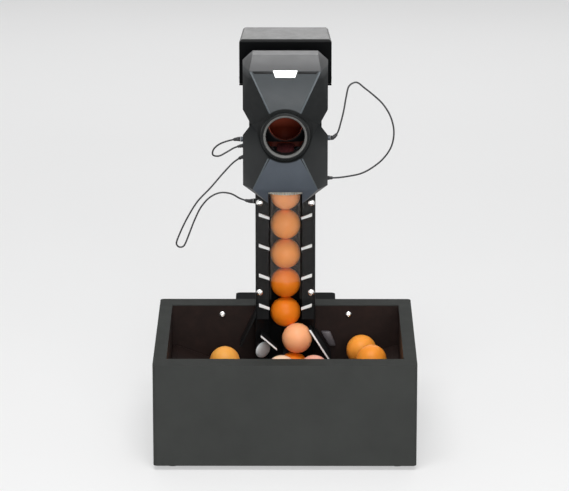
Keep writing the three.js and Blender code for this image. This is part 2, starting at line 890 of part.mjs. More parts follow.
function makeThroat() {
  const foot = baseTop + seatGap;
  const fingerSlot = box(
    -feedFingerHalfWidth - fingerSlotPlay,
    feedFingerHalfWidth + fingerSlotPlay,
    channelY,
    columnBack + overrun,
    feedAxisHeight - feedTipRadius - overrun,
    feedAxisHeight + feedTipRadius + overrun,
  );
  const floor = join(
    rod("z", channelRadius + overlap, foot, foot + throatFloor, 0, channelY),
    box(-channelRadius - overlap, channelRadius + overlap, columnFront, channelY, foot, foot + throatFloor),
  );
  const wingSide = -columnHalfWidth;
  const wingFoot = wingTopHeight - wingDrop;
  const wing = prism(
    outline([
      [wingSide + overlap, wingTopHeight],
      [wingSide - wingReach, wingFoot],
      [wingSide - wingReach + wingThickness, wingFoot],
      [wingSide + overlap, wingTopHeight - wingRoot],
    ]),
    "y",
    columnFront - seatGap,
    wellBack - seatGap,
  );
  const guideTop = throatTop - guideDrop;
  const guideStart = columnHalfWidth - guideInset;
  const guideEnd = columnHalfWidth + wingReach;
  const guide = prism(
    outline([
      [guideStart, guideTop],
      [guideEnd - wingThickness, guideTop - guideFall],
      [guideEnd, guideTop - guideFall],
      [guideStart + wingThickness, guideTop],
    ]),
    "y",
    columnFront - guideLead,
    wellBack - seatGap,
  );
  const [finX, finZ] = [finStart[0] - columnHalfWidth, mouthTop + finStart[1]];
  const [tipX, tipZ] = [finEnd[0], mouthTop + finEnd[1]];
  const fin = prism(
    outline([
      [finX, finZ],
      [finX, finZ - wingThickness],
      [tipX, tipZ - wingThickness],
      [tipX, tipZ],
    ]),
    "y",
    columnFront - guideLead,
    columnFront + mouthDepth,
  );
  const channelWall = rod("z", channelRadius, foot + throatFloor, throatTop + overrun, 0, channelY);
  const mouthHalfWidth = columnHalfWidth - seatGap;
  const mouth = hull(
    mirrored([
      [mouthHalfWidth, columnFront - seatGap, foot + throatFloor],
      [channelRadius - overlap, columnFront + mouthDepth, foot + throatFloor],
      [mouthHalfWidth, columnFront - seatGap, mouthTop],
      [channelRadius - overlap, columnFront + mouthDepth, mouthTop],
    ]),
  );
  const shell = join(
    cut(columnProfile(foot, throatTop), ...ducts(mouthTop + throatFloor, throatTop + overrun), mouth),
    floor,
    wing,
    guide,
    cut(fin, channelWall),
    ...ribPair(throatTop - throatRibDrop, columnFront),
  );
  add("feed_throat", cut(shell, fingerSlot), black);
}

function makeColumn() {
  const foot = throatTop + seatGap;
  const pilots = coverScrewHeights.flatMap((height) =>
    [-1, 1].map((side) =>
      rod(
        "y",
        coverScrewRadius + screwPlay,
        columnFront - overrun,
        columnFront + columnWall + overrun,
        side * coverScrewOffset,
        height,
        smallSides,
      ),
    ),
  );
  const [x, y, z] = columnGland;
  const gland = rod("x", glandRadius, x, -columnHalfWidth + overlap, y, z, coarseSides);
  const shell = cut(
    columnProfile(foot, columnTop),
    ...ducts(foot - overrun, columnTop + overrun),
    ...pilots,
  );
  add("column_shell", join(shell, gland), black);
}

// Clear cover: flat flanges on the column's face and a round bulge in front of the balls.
function makeClearCover() {
  const face = columnFront - seatGap;
  const front = face - coverThickness;
  const top = columnTop - coverTopLead;
  const innerRadius = ballRadius + bulgePlay;
  const outerRadius = innerRadius + coverThickness;
  const flangeWidth = columnHalfWidth - coverSideInset;
  const flange = box(-flangeWidth, flangeWidth, front, face, coverFoot, top);
  const half = Math.sqrt(outerRadius ** 2 - (channelY - face) ** 2);
  const bulge = cut(
    rod("z", outerRadius, bulgeFoot, top, 0, channelY, fineSides),
    box(
      -outerRadius,
      outerRadius,
      face,
      channelY + outerRadius + overrun,
      bulgeFoot - overrun,
      top + overrun,
    ),
  );
  const bore = rod("z", innerRadius, bulgeFoot - overrun, top + overrun, 0, channelY, fineSides);
  const mouth = box(-half, half, front - overrun, face + overrun, coverFoot - overrun, bulgeFoot);
  const holes = coverScrewHeights.flatMap((height) =>
    [-1, 1].map((side) =>
      rod(
        "y",
        coverScrewRadius + screwPlay,
        front - overrun,
        face + overrun,
        side * coverScrewOffset,
        height,
        smallSides,
      ),
    ),
  );
  const ribs = ribRises.flatMap((rise) => ribPair(bulgeFoot + rise, front));
  add("clear_cover", cut(join(flange, bulge, ...ribs), bore, mouth, ...holes), clear);
}

// A pan-head screw along +Y with its head's underside at the origin.
function screw(radius, length) {
  const head = rod("y", screwHeadRadius, -screwHeadThickness, 0, 0, 0, coarseSides);
  const shank = rod("y", radius, -overlap, length, 0, 0, smallSides);
  return join(head, shank);
}

function makeScrews() {
  const coverFace = columnFront - seatGap - coverThickness - seatGap;
  const levels = ["lower", "upper"];
  coverScrewHeights.forEach((height, level) => {
    for (const [word, side] of [
      ["left", -1],
      ["right", 1],
    ]) {
      const name = `cover_screw_${levels[level]}_${word}`;
      const made = add(name, screw(coverScrewRadius, coverScrewLength), steel);
      made.position.set(side * coverScrewOffset, coverFace, height);
    }
  });
  const reach = endRim + housingFlangeThickness + 2 * seatGap;
  for (const [word, side] of [
    ["left", -1],
    ["right", 1],
  ]) {
    const made = add(`wall_screw_${word}`, screw(wallScrewRadius, reach), steel);
    made.position.set(side * wallScrewOffset, wellBack - seatGap, wallScrewHeight);
  }
}

// Housing behind the box: it holds the feed drive, the control board, the inlet and the switch.
function makeHousing() {
  const cavityHalfWidth = housingHalfWidth - housingWall;
  const inside = housingBack - housingWall;
  const body = prism(
    roundedRectangle(
      -housingHalfWidth,
      housingHalfWidth,
      housingFront - housingCornerRadius,
      housingBack,
      housingCornerRadius,
    ),
    "z",
    housingFoot,
    housingTop,
  );
  const front = box(
    -boxWidth,
    boxWidth,
    housingFront - housingCornerRadius - overrun,
    housingFront,
    0,
    boxTop,
  );
  const cavity = box(
    -cavityHalfWidth,
    cavityHalfWidth,
    housingFront - overrun,
    inside,
    housingFoot + housingWall,
    housingTop - housingWall,
  );
  const flange = box(
    -housingFlangeHalfWidth,
    housingFlangeHalfWidth,
    housingFront,
    housingFront + housingFlangeThickness,
    housingTop - housingFlangeHeight,
    housingTop,
  );
  const flangeHoles = [-1, 1].map((side) =>
    rod(
      "y",
      wallScrewRadius + screwPlay,
      housingFront - overrun,
      housingFront + housingFlangeThickness + overrun,
      side * wallScrewOffset,
      wallScrewHeight,
      coarseSides,
    ),
  );
  const lugFront = feedAxisY - feedHubRadius;
  const lugs = [-1, 1].map((side) => {
    const near = side * lugInner;
    const far = side * lugOuter;
    return box(
      Math.min(near, far),
      Math.max(near, far),
      lugFront,
      inside + overlap,
      feedAxisHeight - lugHeight / 2,
      feedAxisHeight + lugHeight / 2,
    );
  });
  const shaftHole = rod(
    "x",
    feedShaftRadius + seatGap,
    -lugOuter - overrun,
    lugOuter + overrun,
    feedAxisY,
    feedAxisHeight,
  );
  const standoffs = [boardFoot + standoffInset, boardFoot + boardHeight - standoffInset].map((height) =>
    rod("y", standoffRadius, inside - boardStandoff, inside + overlap, boardOffset, height, coarseSides),
  );
  const panelMiddle = (inletOffset + rockerOffset) / 2;
  const panelAt = (from, to, edge) =>
    box(
      panelMiddle - panelHalfWidth - edge,
      panelMiddle + panelHalfWidth + edge,
      from,
      to,
      inletHeight - panelHalfHeight - edge,
      inletHeight + panelHalfHeight + edge,
    );
  const panelBack = panelAt(inside - panelPocket, inside + overlap, housingWall);
  const pocket = panelAt(housingBack - panelPocket, housingBack + overrun, 0);
  const inletHole = rod(
    "y",
    inletRadius + seatGap,
    inside - panelPocket - overrun,
    housingBack + overrun,
    inletOffset,
    inletHeight,
  );
  const rockerHole = box(
    rockerOffset - rockerWidth / 2,
    rockerOffset + rockerWidth / 2,
    inside - panelPocket - overrun,
    housingBack + overrun,
    rockerHeight - rockerTall / 2,
    rockerHeight + rockerTall / 2,
  );
  const rim = cut(body, front);
  const shell = join(cut(join(rim, flange), cavity), ...lugs, ...standoffs, panelBack);
  add("drive_housing", cut(shell, ...flangeHoles, shaftHole, pocket, inletHole, rockerHole), black);
}

function makeFeedDrive() {
  const start = lugOuter + seatGap;
  const gearboxEnd = start + feedGearboxLength;
  const motorEnd = start + feedMotorLength;
  const gearbox = rod("x", feedMotorRadius, start, gearboxEnd, feedAxisY, feedAxisHeight);
  const can = rod("x", feedCanRadius, gearboxEnd - overlap, motorEnd, feedAxisY, feedAxisHeight);
  const boreEnd = start + feedBoreDepth;
  const bore = rod("x", feedShaftRadius + seatGap, start - overrun, boreEnd, feedAxisY, feedAxisHeight);
  add("feed_gearmotor", cut(join(gearbox, can), bore), steel);

  const shaftStart = -lugOuter - feedShaftEnd;
  const shaft = rod("x", feedShaftRadius, shaftStart, start + feedShaftEnd, 0, 0);
  add("feed_shaft", shaft, steel).position.set(0, feedAxisY, feedAxisHeight);

  const hub = rod("x", feedHubRadius, -feedHubHalfWidth, feedHubHalfWidth, 0, 0);
  const fingers = [];
  for (let index = 0; index < feedFingerCount; index += 1) {
    const angle = feedFingerTurn + (index * 360) / feedFingerCount;
    const reach = feedTipRadius - feedFingerTip;
    const blade = new THREE.Shape();
    blade.moveTo(0, -feedFingerRoot);
    blade.lineTo(reach, -feedFingerTip);
    blade.absarc(reach, 0, feedFingerTip, -Math.PI / 2, Math.PI / 2);
    blade.lineTo(0, feedFingerRoot);
    const finger = prism(blade, "x", -feedFingerHalfWidth, feedFingerHalfWidth, tipSegments);
    fingers.push(finger.rotate([angle, 0, 0]));
  }
  const wheelBore = rod(
    "x",
    feedShaftRadius + seatGap,
    -feedHubHalfWidth - overrun,
    feedHubHalfWidth + overrun,
    0,
    0,
  );
  const wheel = cut(join(hub, ...fingers), wheelBore);
  add("feed_wheel", wheel, black).position.set(0, feedAxisY, feedAxisHeight);
}

function makeElectrics() {
  const inside = housingBack - housingWall;
  const boardBack = inside - boardStandoff - seatGap;
  const boardFront = boardBack - boardThickness;
  const board = box(
    boardOffset - boardHalfWidth,
    boardOffset + boardHalfWidth,
    boardFront,
    boardBack,
    boardFoot,
    boardFoot + boardHeight,
  );
  const chip = box(
    boardOffset - chipSize / 2,
    boardOffset + chipSize / 2,
    boardFront - chipHeight,
    boardFront + overlap,
    boardFoot + boardHeight / 2,
    boardFoot + boardHeight / 2 + chipSize,
  );
  const capacitor = rod(
    "y",
    capacitorRadius,
    boardFront - capacitorHeight,
    boardFront + overlap,
    boardOffset,
    boardFoot + capacitorUp,
    coarseSides,
  );
  add("control_board", join(board, chip, capacitor), green);

  const face = housingBack - panelPocket;
  const flangeFace = face + seatGap;
  const barrel = rod("y", inletRadius, face - inletDepth, flangeFace + overlap, inletOffset, inletHeight);
  const rim = rod("y", inletFlangeRadius, flangeFace, flangeFace + rockerProud, inletOffset, inletHeight);
  const bore = rod(
    "y",
    inletBore,
    face - inletDepth + housingWall,
    flangeFace + rockerProud + overrun,
    inletOffset,
    inletHeight,
    coarseSides,
  );
  const pin = rod(
    "y",
    inletPinRadius,
    face - inletDepth + housingWall - overlap,
    face,
    inletOffset,
    inletHeight,
    smallSides,
  );
  add("power_inlet", join(cut(join(barrel, rim), bore), pin), black);

  const halfTall = rockerTall / 2 - rockerPlay;
  const halfDeep = rockerDepth / 2;
  const cap = prism(
    outline([
      [-halfDeep, -halfTall],
      [halfDeep - rockerProud, -halfTall],
      [halfDeep, 0],
      [halfDeep - rockerProud, halfTall],
      [-halfDeep, halfTall],
    ]),
    "x",
    -rockerWidth / 2 + rockerPlay / 2,
    rockerWidth / 2 - rockerPlay / 2,
  );
  const rocker = add("power_rocker", cap, rubberRed);
  rocker.rotation.x = THREE.MathUtils.degToRad(-rockerTravel / 2);
  rocker.position.set(rockerOffset, face - halfDeep + rockerProud, rockerHeight);
}

// Ring gear that stays on the column, round which the pan stage turns.
function makePanRing() {
  const foot = columnTop + seatGap;
  const gapBehind = Math.PI / 2 + Math.PI / panTeeth;
  const ring = prism(gearOutline(panTeeth, panModule, panBacklash, gapBehind), "z", 0, panRingHeight);
  const bore = rod("z", panRingBore, -overrun, panRingHeight + overrun, 0, 0, fineSides);
  add("pan_ring", cut(ring, bore), nylon).position.set(0, channelY, foot);
}

const panStage = new THREE.Group();
panStage.position.set(0, channelY, panPlane);
robot.add(panStage);

const panMotorY = (panModule * (panTeeth + panPinionTeeth)) / 2 + panBacklash / 2;

// Yoke in the pan stage's frame: a turntable plate, two arms that carry the head, and a back wall.
function makeYoke() {
  const front = -yokeArmLead;
  const back = yokeBackReach;
  const backTop = yokeBackRise;
  const plate = join(
    rod("z", yokeFrontRadius, 0, yokePlateThickness, 0, 0, fineSides),
    box(-yokeOuter, yokeOuter, front, back, 0, yokePlateThickness),
  );
  const collarOuter = panRingBore - runningGap;
  const collarFoot = -panRingHeight + 2 * seatGap;
  const collar = rod("z", collarOuter, collarFoot, overlap, 0, 0, fineSides);
  const bore = rod(
    "z",
    collarOuter - collarWall,
    collarFoot - overrun,
    yokePlateThickness + overrun,
    0,
    0,
    fineSides,
  );
  const eye = new THREE.Shape();
  const eyeY = -tiltAxisLead;
  const eyeFrom = THREE.MathUtils.degToRad(yokeEyeFrom);
  const eyeTo = THREE.MathUtils.degToRad(yokeEyeTo);
  eye.moveTo(front, 0);
  eye.lineTo(back, 0);
  eye.lineTo(back, backTop);
  eye.lineTo(back - yokeBackRun, backTop);
  eye.absarc(eyeY, exitRise, yokeEyeRadius, eyeFrom, eyeTo);
  eye.lineTo(front, exitRise - yokeFrontDrop);
  const arms = [-1, 1].map((side) => {
    const near = side * yokeArmInner;
    const far = side * yokeOuter;
    return prism(eye, "x", Math.min(near, far), Math.max(near, far), eyeSegments);
  });
  const backWall = box(-yokeOuter, yokeOuter, back - yokeBackWall, back, 0, backTop);
  const pinHole = rod(
    "x",
    pinRadius + seatGap,
    -yokeOuter - overrun,
    yokeOuter + overrun,
    eyeY,
    exitRise,
    coarseSides,
  );
  const pinionHole = rod(
    "z",
    panShaftRadius + runningGap,
    -overrun,
    yokePlateThickness + overrun,
    0,
    panMotorY,
    coarseSides,
  );
  const shelfTop = exitRise - tiltMotorDrop - tiltMotorHeight - seatGap;
  const shelf = box(
    wormX - tiltMotorRadius,
    yokeArmInner + overlap,
    wormY - tiltMotorRadius,
    wormY + tiltMotorRadius,
    shelfTop - tiltShelfThickness,
    shelfTop,
  );
  const glands = [yokeGlandRight, yokeGlandLeft, yokeGlandLow].map(([x, y, z]) => {
    const side = Math.sign(x);
    const root = side * (yokeOuter - overlap);
    const from = Math.min(root, x);
    return rod("x", glandRadius, from, Math.max(root, x), y - channelY, z - panPlane, coarseSides);
  });
  const solidYoke = join(plate, collar, ...arms, backWall, shelf, ...glands);
  add("pan_yoke", cut(solidYoke, bore, pinHole, pinionHole), black, panStage);
}

function makePanDrive() {
  const motorFoot = yokePlateThickness + seatGap;
  const can = rod("z", panMotorRadius, motorFoot, motorFoot + panMotorHeight, 0, panMotorY);
  const bore = rod(
    "z",
    panShaftRadius + seatGap,
    motorFoot - overrun,
    motorFoot + panBoreDepth,
    0,
    panMotorY,
    coarseSides,
  );
  add("pan_gearmotor", cut(can, bore), steel, panStage);

  const pinionTop = -runningGap;
  const gear = prism(
    gearOutline(panPinionTeeth, panModule, panBacklash, -Math.PI / 2),
    "z",
    pinionTop - panPinionHeight,
    pinionTop,
  );
  const shaft = rod("z", panShaftRadius, pinionTop - overlap, motorFoot + panShaftDepth, 0, 0, coarseSides);
  add("pan_pinion", join(gear, shaft), steel, panStage).position.set(0, panMotorY, 0);
}

// Curved feed tube that turns the balls from the column into the launcher head.
function makeElbow() {
  const innerRadius = ballRadius + elbowPlay;
  const outerRadius = innerRadius + elbowWall;
  const foot = yokePlateThickness + seatGap;
  const bendStart = exitRise - elbowBend;
  const route = (lead) => {
    const points = [new THREE.Vector3(0, 0, foot - lead)];
    for (let step = 0; step <= elbowSteps; step += 1) {
      const angle = (step / elbowSteps) * (Math.PI / 2);
      const y = -elbowBend + elbowBend * Math.cos(angle);
      points.push(new THREE.Vector3(0, y, bendStart + elbowBend * Math.sin(angle)));
    }
    points.push(new THREE.Vector3(0, -tiltAxisLead - elbowReach - lead, exitRise));
    return points;
  };
  const tube = (radius, lead) => sweptTube(route(lead), radius, roundSides);
  const flangeTop = foot + elbowFlangeThickness;
  const flange = cut(
    rod("z", elbowFlangeRadius, foot, flangeTop, 0, 0, fineSides),
    box(
      -elbowFlangeRadius,
      elbowFlangeRadius,
      outerRadius,
      elbowFlangeRadius + overrun,
      foot - overrun,
      flangeTop + overrun,
    ),
  );
  add("feed_elbow", cut(join(tube(outerRadius, 0), flange), tube(innerRadius, overrun)), tubeRed, panStage);
}

// A closed tube with flat ends through a list of points in the YZ plane, each ring square to the route.
function sweptTube(points, radius, sides) {
  const positions = [];
  const across = new THREE.Vector3(1, 0, 0);
  const rings = points.map((point, index) => {
    const before = points[Math.max(0, index - 1)];
    const after = points[Math.min(points.length - 1, index + 1)];
    const forward = after.clone().sub(before).normalize();
    const up = new THREE.Vector3().crossVectors(forward, across).normalize();
    const ring = [];
    for (let step = 0; step < sides; step += 1) {
      const angle = (step / sides) * 2 * Math.PI;
      const spoke = point.clone().addScaledVector(across, radius * Math.cos(angle));
      ring.push(spoke.addScaledVector(up, radius * Math.sin(angle)));
    }
    return ring;
  });
  const face = (a, b, c) => positions.push(...a.toArray(), ...b.toArray(), ...c.toArray());
  const last = rings.length - 1;
  for (let step = 0; step < sides; step += 1) {
    const next = (step + 1) % sides;
    for (let index = 0; index < last; index += 1) {
      face(rings[index][step], rings[index][next], rings[index + 1][next]);
      face(rings[index][step], rings[index + 1][next], rings[index + 1][step]);
    }
    face(points[0], rings[0][next], rings[0][step]);
    face(points[last], rings[last][step], rings[last][next]);
  }
  const geometry = new THREE.BufferGeometry();
  geometry.setAttribute("position", new THREE.Float32BufferAttribute(positions, 3));
  return solid(geometry);
}

// Worm and sector that tilt the head: the worm stands behind the tilt axis on the right.
const sectorX = earInner - sectorThickness / 2;
const sectorRadius = (sectorTeeth * tiltModule) / 2;
const wormPitchRadius = wormTipRadius - tiltModule * toothTopShare;
const wormX = sectorX;
const wormY = -tiltAxisLead + sectorRadius + wormPitchRadius + wormBacklash;
const wormPitch = Math.PI * tiltModule;

function makeTiltDrive() {
  const positions = [];
  const steps = wormTurns * wormSteps;
  const rootHalf = wormPitch * wormRootShare;
  const tipHalf = wormPitch * wormTipShare;
  const inside = wormRootRadius - overlap;
  const ringAt = (step) => {
    const angle = (step / wormSteps) * 2 * Math.PI - Math.PI / 2;
    const height = (step / steps - 0.5) * wormTurns * wormPitch;
    return [
      [inside, -rootHalf],
      [wormTipRadius, -tipHalf],
      [wormTipRadius, tipHalf],
      [inside, rootHalf],
    ].map(
      ([radius, rise]) =>
        new THREE.Vector3(radius * Math.cos(angle), radius * Math.sin(angle), height + rise),
    );
  };
  const face = (a, b, c) => positions.push(...a.toArray(), ...b.toArray(), ...c.toArray());
  for (let step = 0; step < steps; step += 1) {
    const here = ringAt(step);
    const there = ringAt(step + 1);
    for (let corner = 0; corner < here.length; corner += 1) {
      const next = (corner + 1) % here.length;
      face(here[corner], there[next], here[next]);
      face(here[corner], there[corner], there[next]);
    }
  }
  const first = ringAt(0);
  const last = ringAt(steps);
  face(first[0], first[1], first[2]);
  face(first[0], first[2], first[3]);
  face(last[0], last[2], last[1]);
  face(last[0], last[3], last[2]);
  const thread = new THREE.BufferGeometry();
  thread.setAttribute("position", new THREE.Float32BufferAttribute(positions, 3));
  const halfLength = (wormTurns / 2 + wormEndTurns) * wormPitch;
  const core = rod("z", wormRootRadius, -halfLength, halfLength, 0, 0, coarseSides);
  const shaft = rod(
    "z",
    panShaftRadius,
    -tiltMotorDrop - tiltShaftDepth,
    -halfLength + overlap,
    0,
    0,
    coarseSides,
  );
  add("tilt_worm", join(solid(thread), core, shaft), steel, panStage).position.set(wormX, wormY, exitRise);

  const motorTop = exitRise - tiltMotorDrop;
  const can = rod("z", tiltMotorRadius, motorTop - tiltMotorHeight, motorTop, wormX, wormY);
  const bore = rod(
    "z",
    panShaftRadius + seatGap,
    motorTop - tiltBoreDepth,
    motorTop + overrun,
    wormX,
    wormY,
    coarseSides,
  );
  add("tilt_gearmotor", cut(can, bore), steel, panStage);
}

const tiltHead = new THREE.Group();
tiltHead.position.set(0, -tiltAxisLead, exitRise);
panStage.add(tiltHead);

// Corner points of the head in its own frame, whose origin is the middle of the tilt axis.
const upperFront = mirrored([
  [panelTopHalfWidth, -panelTopLead, panelTop],
  [panelFootHalfWidth, -panelLead, panelFoot],
  [headTopHalfWidth, -browLead, headTop],
]);
const lowerFront = mirrored([
  [lowerPanelTopHalfWidth, -panelLead, lowerPanelTop],
  [lowerPanelHalfWidth, -lowerPanelLead, lowerPanelFoot],
  [chinHalfWidth, -chinLead, chinHeight],
  [lowerPanelHalfWidth, -chinLead, hipHeight],
]);
const upperSeam = (y) =>
  mirrored([
    [headTopHalfWidth, y, headTop],
    [headHalfWidth, y, headShoulder],
    [headHalfWidth, y, waistTop],
    [waistHalfWidth, y, waistHeight - overlap],
  ]);
const lowerSeam = (y) =>
  mirrored([
    [waistHalfWidth, y, waistHeight + overlap],
    [headHalfWidth, y, waistFoot],
    [headHalfWidth, y, hipHeight],
    [chinHalfWidth, y, chinHeight],
  ]);

// The same points moved in by one wall, towards the middle line of their lobe.
function shrunk(points, middle, pushBack = headWall) {
  return points.map(([x, y, z]) => [
    x - Math.sign(x) * headWall,
    y + pushBack,
    z - Math.sign(z - middle) * headWall,
  ]);
}

const upperMiddle = wheelOffset;
const lowerMiddle = -wheelOffset;

function chinNotch(from, to, edge) {
  return box(-chinHalfWidth + edge, chinHalfWidth - edge, from, to, chinHeight - overrun, hipHeight - edge);
}

function makeHeadFront() {
  const seam = -partingLead;
  const waistWedge = mirrored([
    [panelFootHalfWidth, -panelLead, panelFoot],
    [lowerPanelTopHalfWidth, -panelLead, lowerPanelTop],
    [waistHalfWidth, seam, waistHeight],
  ]);
  const upper = hull([...upperFront, ...upperSeam(seam)]);
  const lower = cut(
    hull([...lowerFront, ...lowerSeam(seam)]),
    chinNotch(-noseLead, seam + overrun, 0),
  );
  const middle = hull([
    ...waistWedge,
    ...mirrored([[panelFootHalfWidth, seam, panelFoot], [lowerPanelTopHalfWidth, seam, lowerPanelTop]]),
  ]);
  const nose = rod("y", exitRingRadius, -noseLead + exitRingThickness + seatGap, -noseBack, 0, 0, fineSides);
  const innerUpper = hull([
    ...shrunk(upperFront, upperMiddle),
    ...shrunk(upperSeam(seam), upperMiddle, overrun),
  ]);
  const innerLower = cut(
    hull([...shrunk(lowerFront, lowerMiddle), ...shrunk(lowerSeam(seam), lowerMiddle, overrun)]),
    chinNotch(-noseLead, seam + 2 * overrun, -headWall),
  );
  const innerMiddle = hull([
    ...mirrored([
      [panelFootHalfWidth - headWall, -panelLead + headWall, panelFoot],
      [lowerPanelTopHalfWidth - headWall, -panelLead + headWall, lowerPanelTop],
      [waistHalfWidth - 2 * headWall, seam, waistHeight],
      [panelFootHalfWidth, seam + overrun, panelFoot],
      [lowerPanelTopHalfWidth, seam + overrun, lowerPanelTop],
    ]),
  ]);
  const barrel = rod("y", exitBore + seatGap + headWall, -panelLead, -noseBack, 0, 0, fineSides);
  const exitHole = rod("y", exitBore + seatGap, -noseLead - overrun, seam, 0, 0, fineSides);
  const outer = join(upper, lower, middle, nose);
  const shell = join(cut(outer, innerUpper, innerLower, innerMiddle), barrel);
  const ringSeat = rod(
    "y",
    exitRingRadius + seatGap,
    -noseLead - overrun,
    -noseLead + exitRingThickness + seatGap,
    0,
    0,
    fineSides,
  );
  add("head_front_cover", cut(shell, exitHole, ringSeat), darkGrey, tiltHead);
}

function makeHeadRear() {
  const seam = -partingLead + seatGap;
  const back = -rearLead;
  const upperBack = mirrored([
    [headTopHalfWidth - headWall, back, rearTop],
    [rearHalfWidth, back, rearShoulder],
    [rearHalfWidth, back, rearUpperFoot],
  ]);
  const lowerBack = mirrored([
    [rearHalfWidth, back, rearLowerTop],
    [rearHalfWidth, back, rearLowerKnee],
    [rearHalfWidth - headWall, -rearHipLead, hipHeight],
    [chinHalfWidth, -rearChinLead, rearChinHeight],
  ]);
  const upper = hull([...upperSeam(seam), ...upperBack]);
  const lower = hull([...lowerSeam(seam), ...lowerBack]);
  const innerUpper = hull([
    ...shrunk(upperSeam(seam), upperMiddle, -overrun),
    ...shrunk(upperBack, upperMiddle, -headWall),
  ]);
  const innerLower = cut(
    hull([...shrunk(lowerSeam(seam), lowerMiddle, -overrun), ...shrunk(lowerBack, lowerMiddle, -headWall)]),
    chinNotch(seam - 2 * overrun, back, -headWall),
  );
  const notch = chinNotch(seam - overrun, back + overrun, 0);
  const window = box(
    -windowHalf,
    windowHalf,
    seam - overrun,
    back + overrun,
    -windowHalf,
    windowHalf,
  );
  const earAngle = THREE.MathUtils.degToRad(earTurn);
  const ears = [-1, 1].map((side) => {
    const shape = new THREE.Shape();
    shape.moveTo(seam, earFoot);
    shape.lineTo(-earLead, earKnee);
    shape.absarc(0, 0, yokeEyeRadius, -earAngle, earAngle);
    shape.lineTo(-earLead, waistTop);
    shape.lineTo(seam, waistTop);
    const near = side * earInner;
    const far = side * (earInner + earThickness);
    return prism(shape, "x", Math.min(near, far), Math.max(near, far), eyeSegments);
  });
  const reach = ((sectorSpan + 1) * 2 * Math.PI) / sectorTeeth;
  const fanRadius = sectorRadius + sectorCutReach;
  const fan = outline([
    [0, -yokeEyeRadius],
    [fanRadius * Math.cos(reach), -fanRadius * Math.sin(reach)],
    [fanRadius, -fanRadius * Math.sin(reach)],
    [fanRadius, fanRadius * Math.sin(reach)],
    [fanRadius * Math.cos(reach), fanRadius * Math.sin(reach)],
    [0, yokeEyeRadius],
  ]);
  const sectorFrom = earInner - sectorThickness;
  const sectorTo = earInner + overlap;
  const gearDisc = prism(
    gearOutline(sectorTeeth, tiltModule, wormBacklash, Math.PI / sectorTeeth),
    "x",
    sectorFrom,
    sectorTo,
  );
  const sector = gearDisc.intersect(prism(fan, "x", sectorFrom - overrun, sectorTo + overrun));
  const pinHole = rod(
    "x",
    pinRadius + seatGap,
    -earInner - earThickness - overrun,
    earInner + earThickness + overrun,
    0,
    0,
    coarseSides,
  );
  const mounts = [1, -1].map((side) => {
    const near = side * (wheelHalfWidth + mountGap);
    const far = side * (wheelHalfWidth + mountGap + mountThickness);
    const middle = side * wheelOffset;
    return box(
      Math.min(near, far),
      Math.max(near, far),
      -wheelLead - mountLead,
      back - headWall + overlap,
      middle - motorRadius,
      middle + motorRadius,
    );
  });
  const mountHoles = [1, -1].map((side) =>
    rod(
      "x",
      hubBossRadius,
      -wheelHalfWidth - mountGap - mountThickness - overrun,
      wheelHalfWidth + mountGap + mountThickness + overrun,
      -wheelLead,
      side * wheelOffset,
    ),
  );
  const glands = [headGlandRight, headGlandLeft].map(([x, y, z]) => {
    const side = Math.sign(x);
    const root = side * (rearHalfWidth - headWall);
    const from = Math.min(root, x);
    return rod("x", glandRadius, from, Math.max(root, x), y - tiltAxisY, z - exitHeight, coarseSides);
  });
  const shells = cut(join(upper, lower), innerUpper, innerLower, notch, window);
  const inside = cut(join(...mounts), ...mountHoles);
  const shell = join(shells, ...ears, sector, inside, ...glands);
  add("head_rear_shell", cut(shell, pinHole), darkGrey, tiltHead);
}

function makeExitRing() {
  const face = exitRingThickness;
  const profile = [
    [exitBore + exitRingEdge, face],
    [exitBore, face - exitRingEdge],
    [exitBore, 0],
    [exitRingRadius, 0],
    [exitRingRadius, face - exitRingEdge],
    [exitRingRadius - exitRingEdge, face],
    [exitBore + exitRingEdge, face],
  ];
  const ring = add("exit_ring", turned(profile, fineSides), paleGrey, tiltHead);
  ring.rotation.x = Math.PI / 2;
  ring.position.set(0, -noseLead + exitRingThickness, 0);
}

function makeStatusWindow() {
  const slope = Math.atan2(panelTop - panelFoot, panelLead - panelTopLead);
  const pane = new THREE.BoxGeometry(statusWidth, statusHeight, statusThickness);
  const plate = add("status_window", pane, white, tiltHead);
  plate.rotation.x = slope;
  const lift = seatGap + statusThickness / 2;
  plate.position.set(
    0,
    -panelTopLead - statusDrop * Math.cos(slope) - lift * Math.sin(slope),
    panelTop - statusDrop * Math.sin(slope) + lift * Math.cos(slope),
  );
}

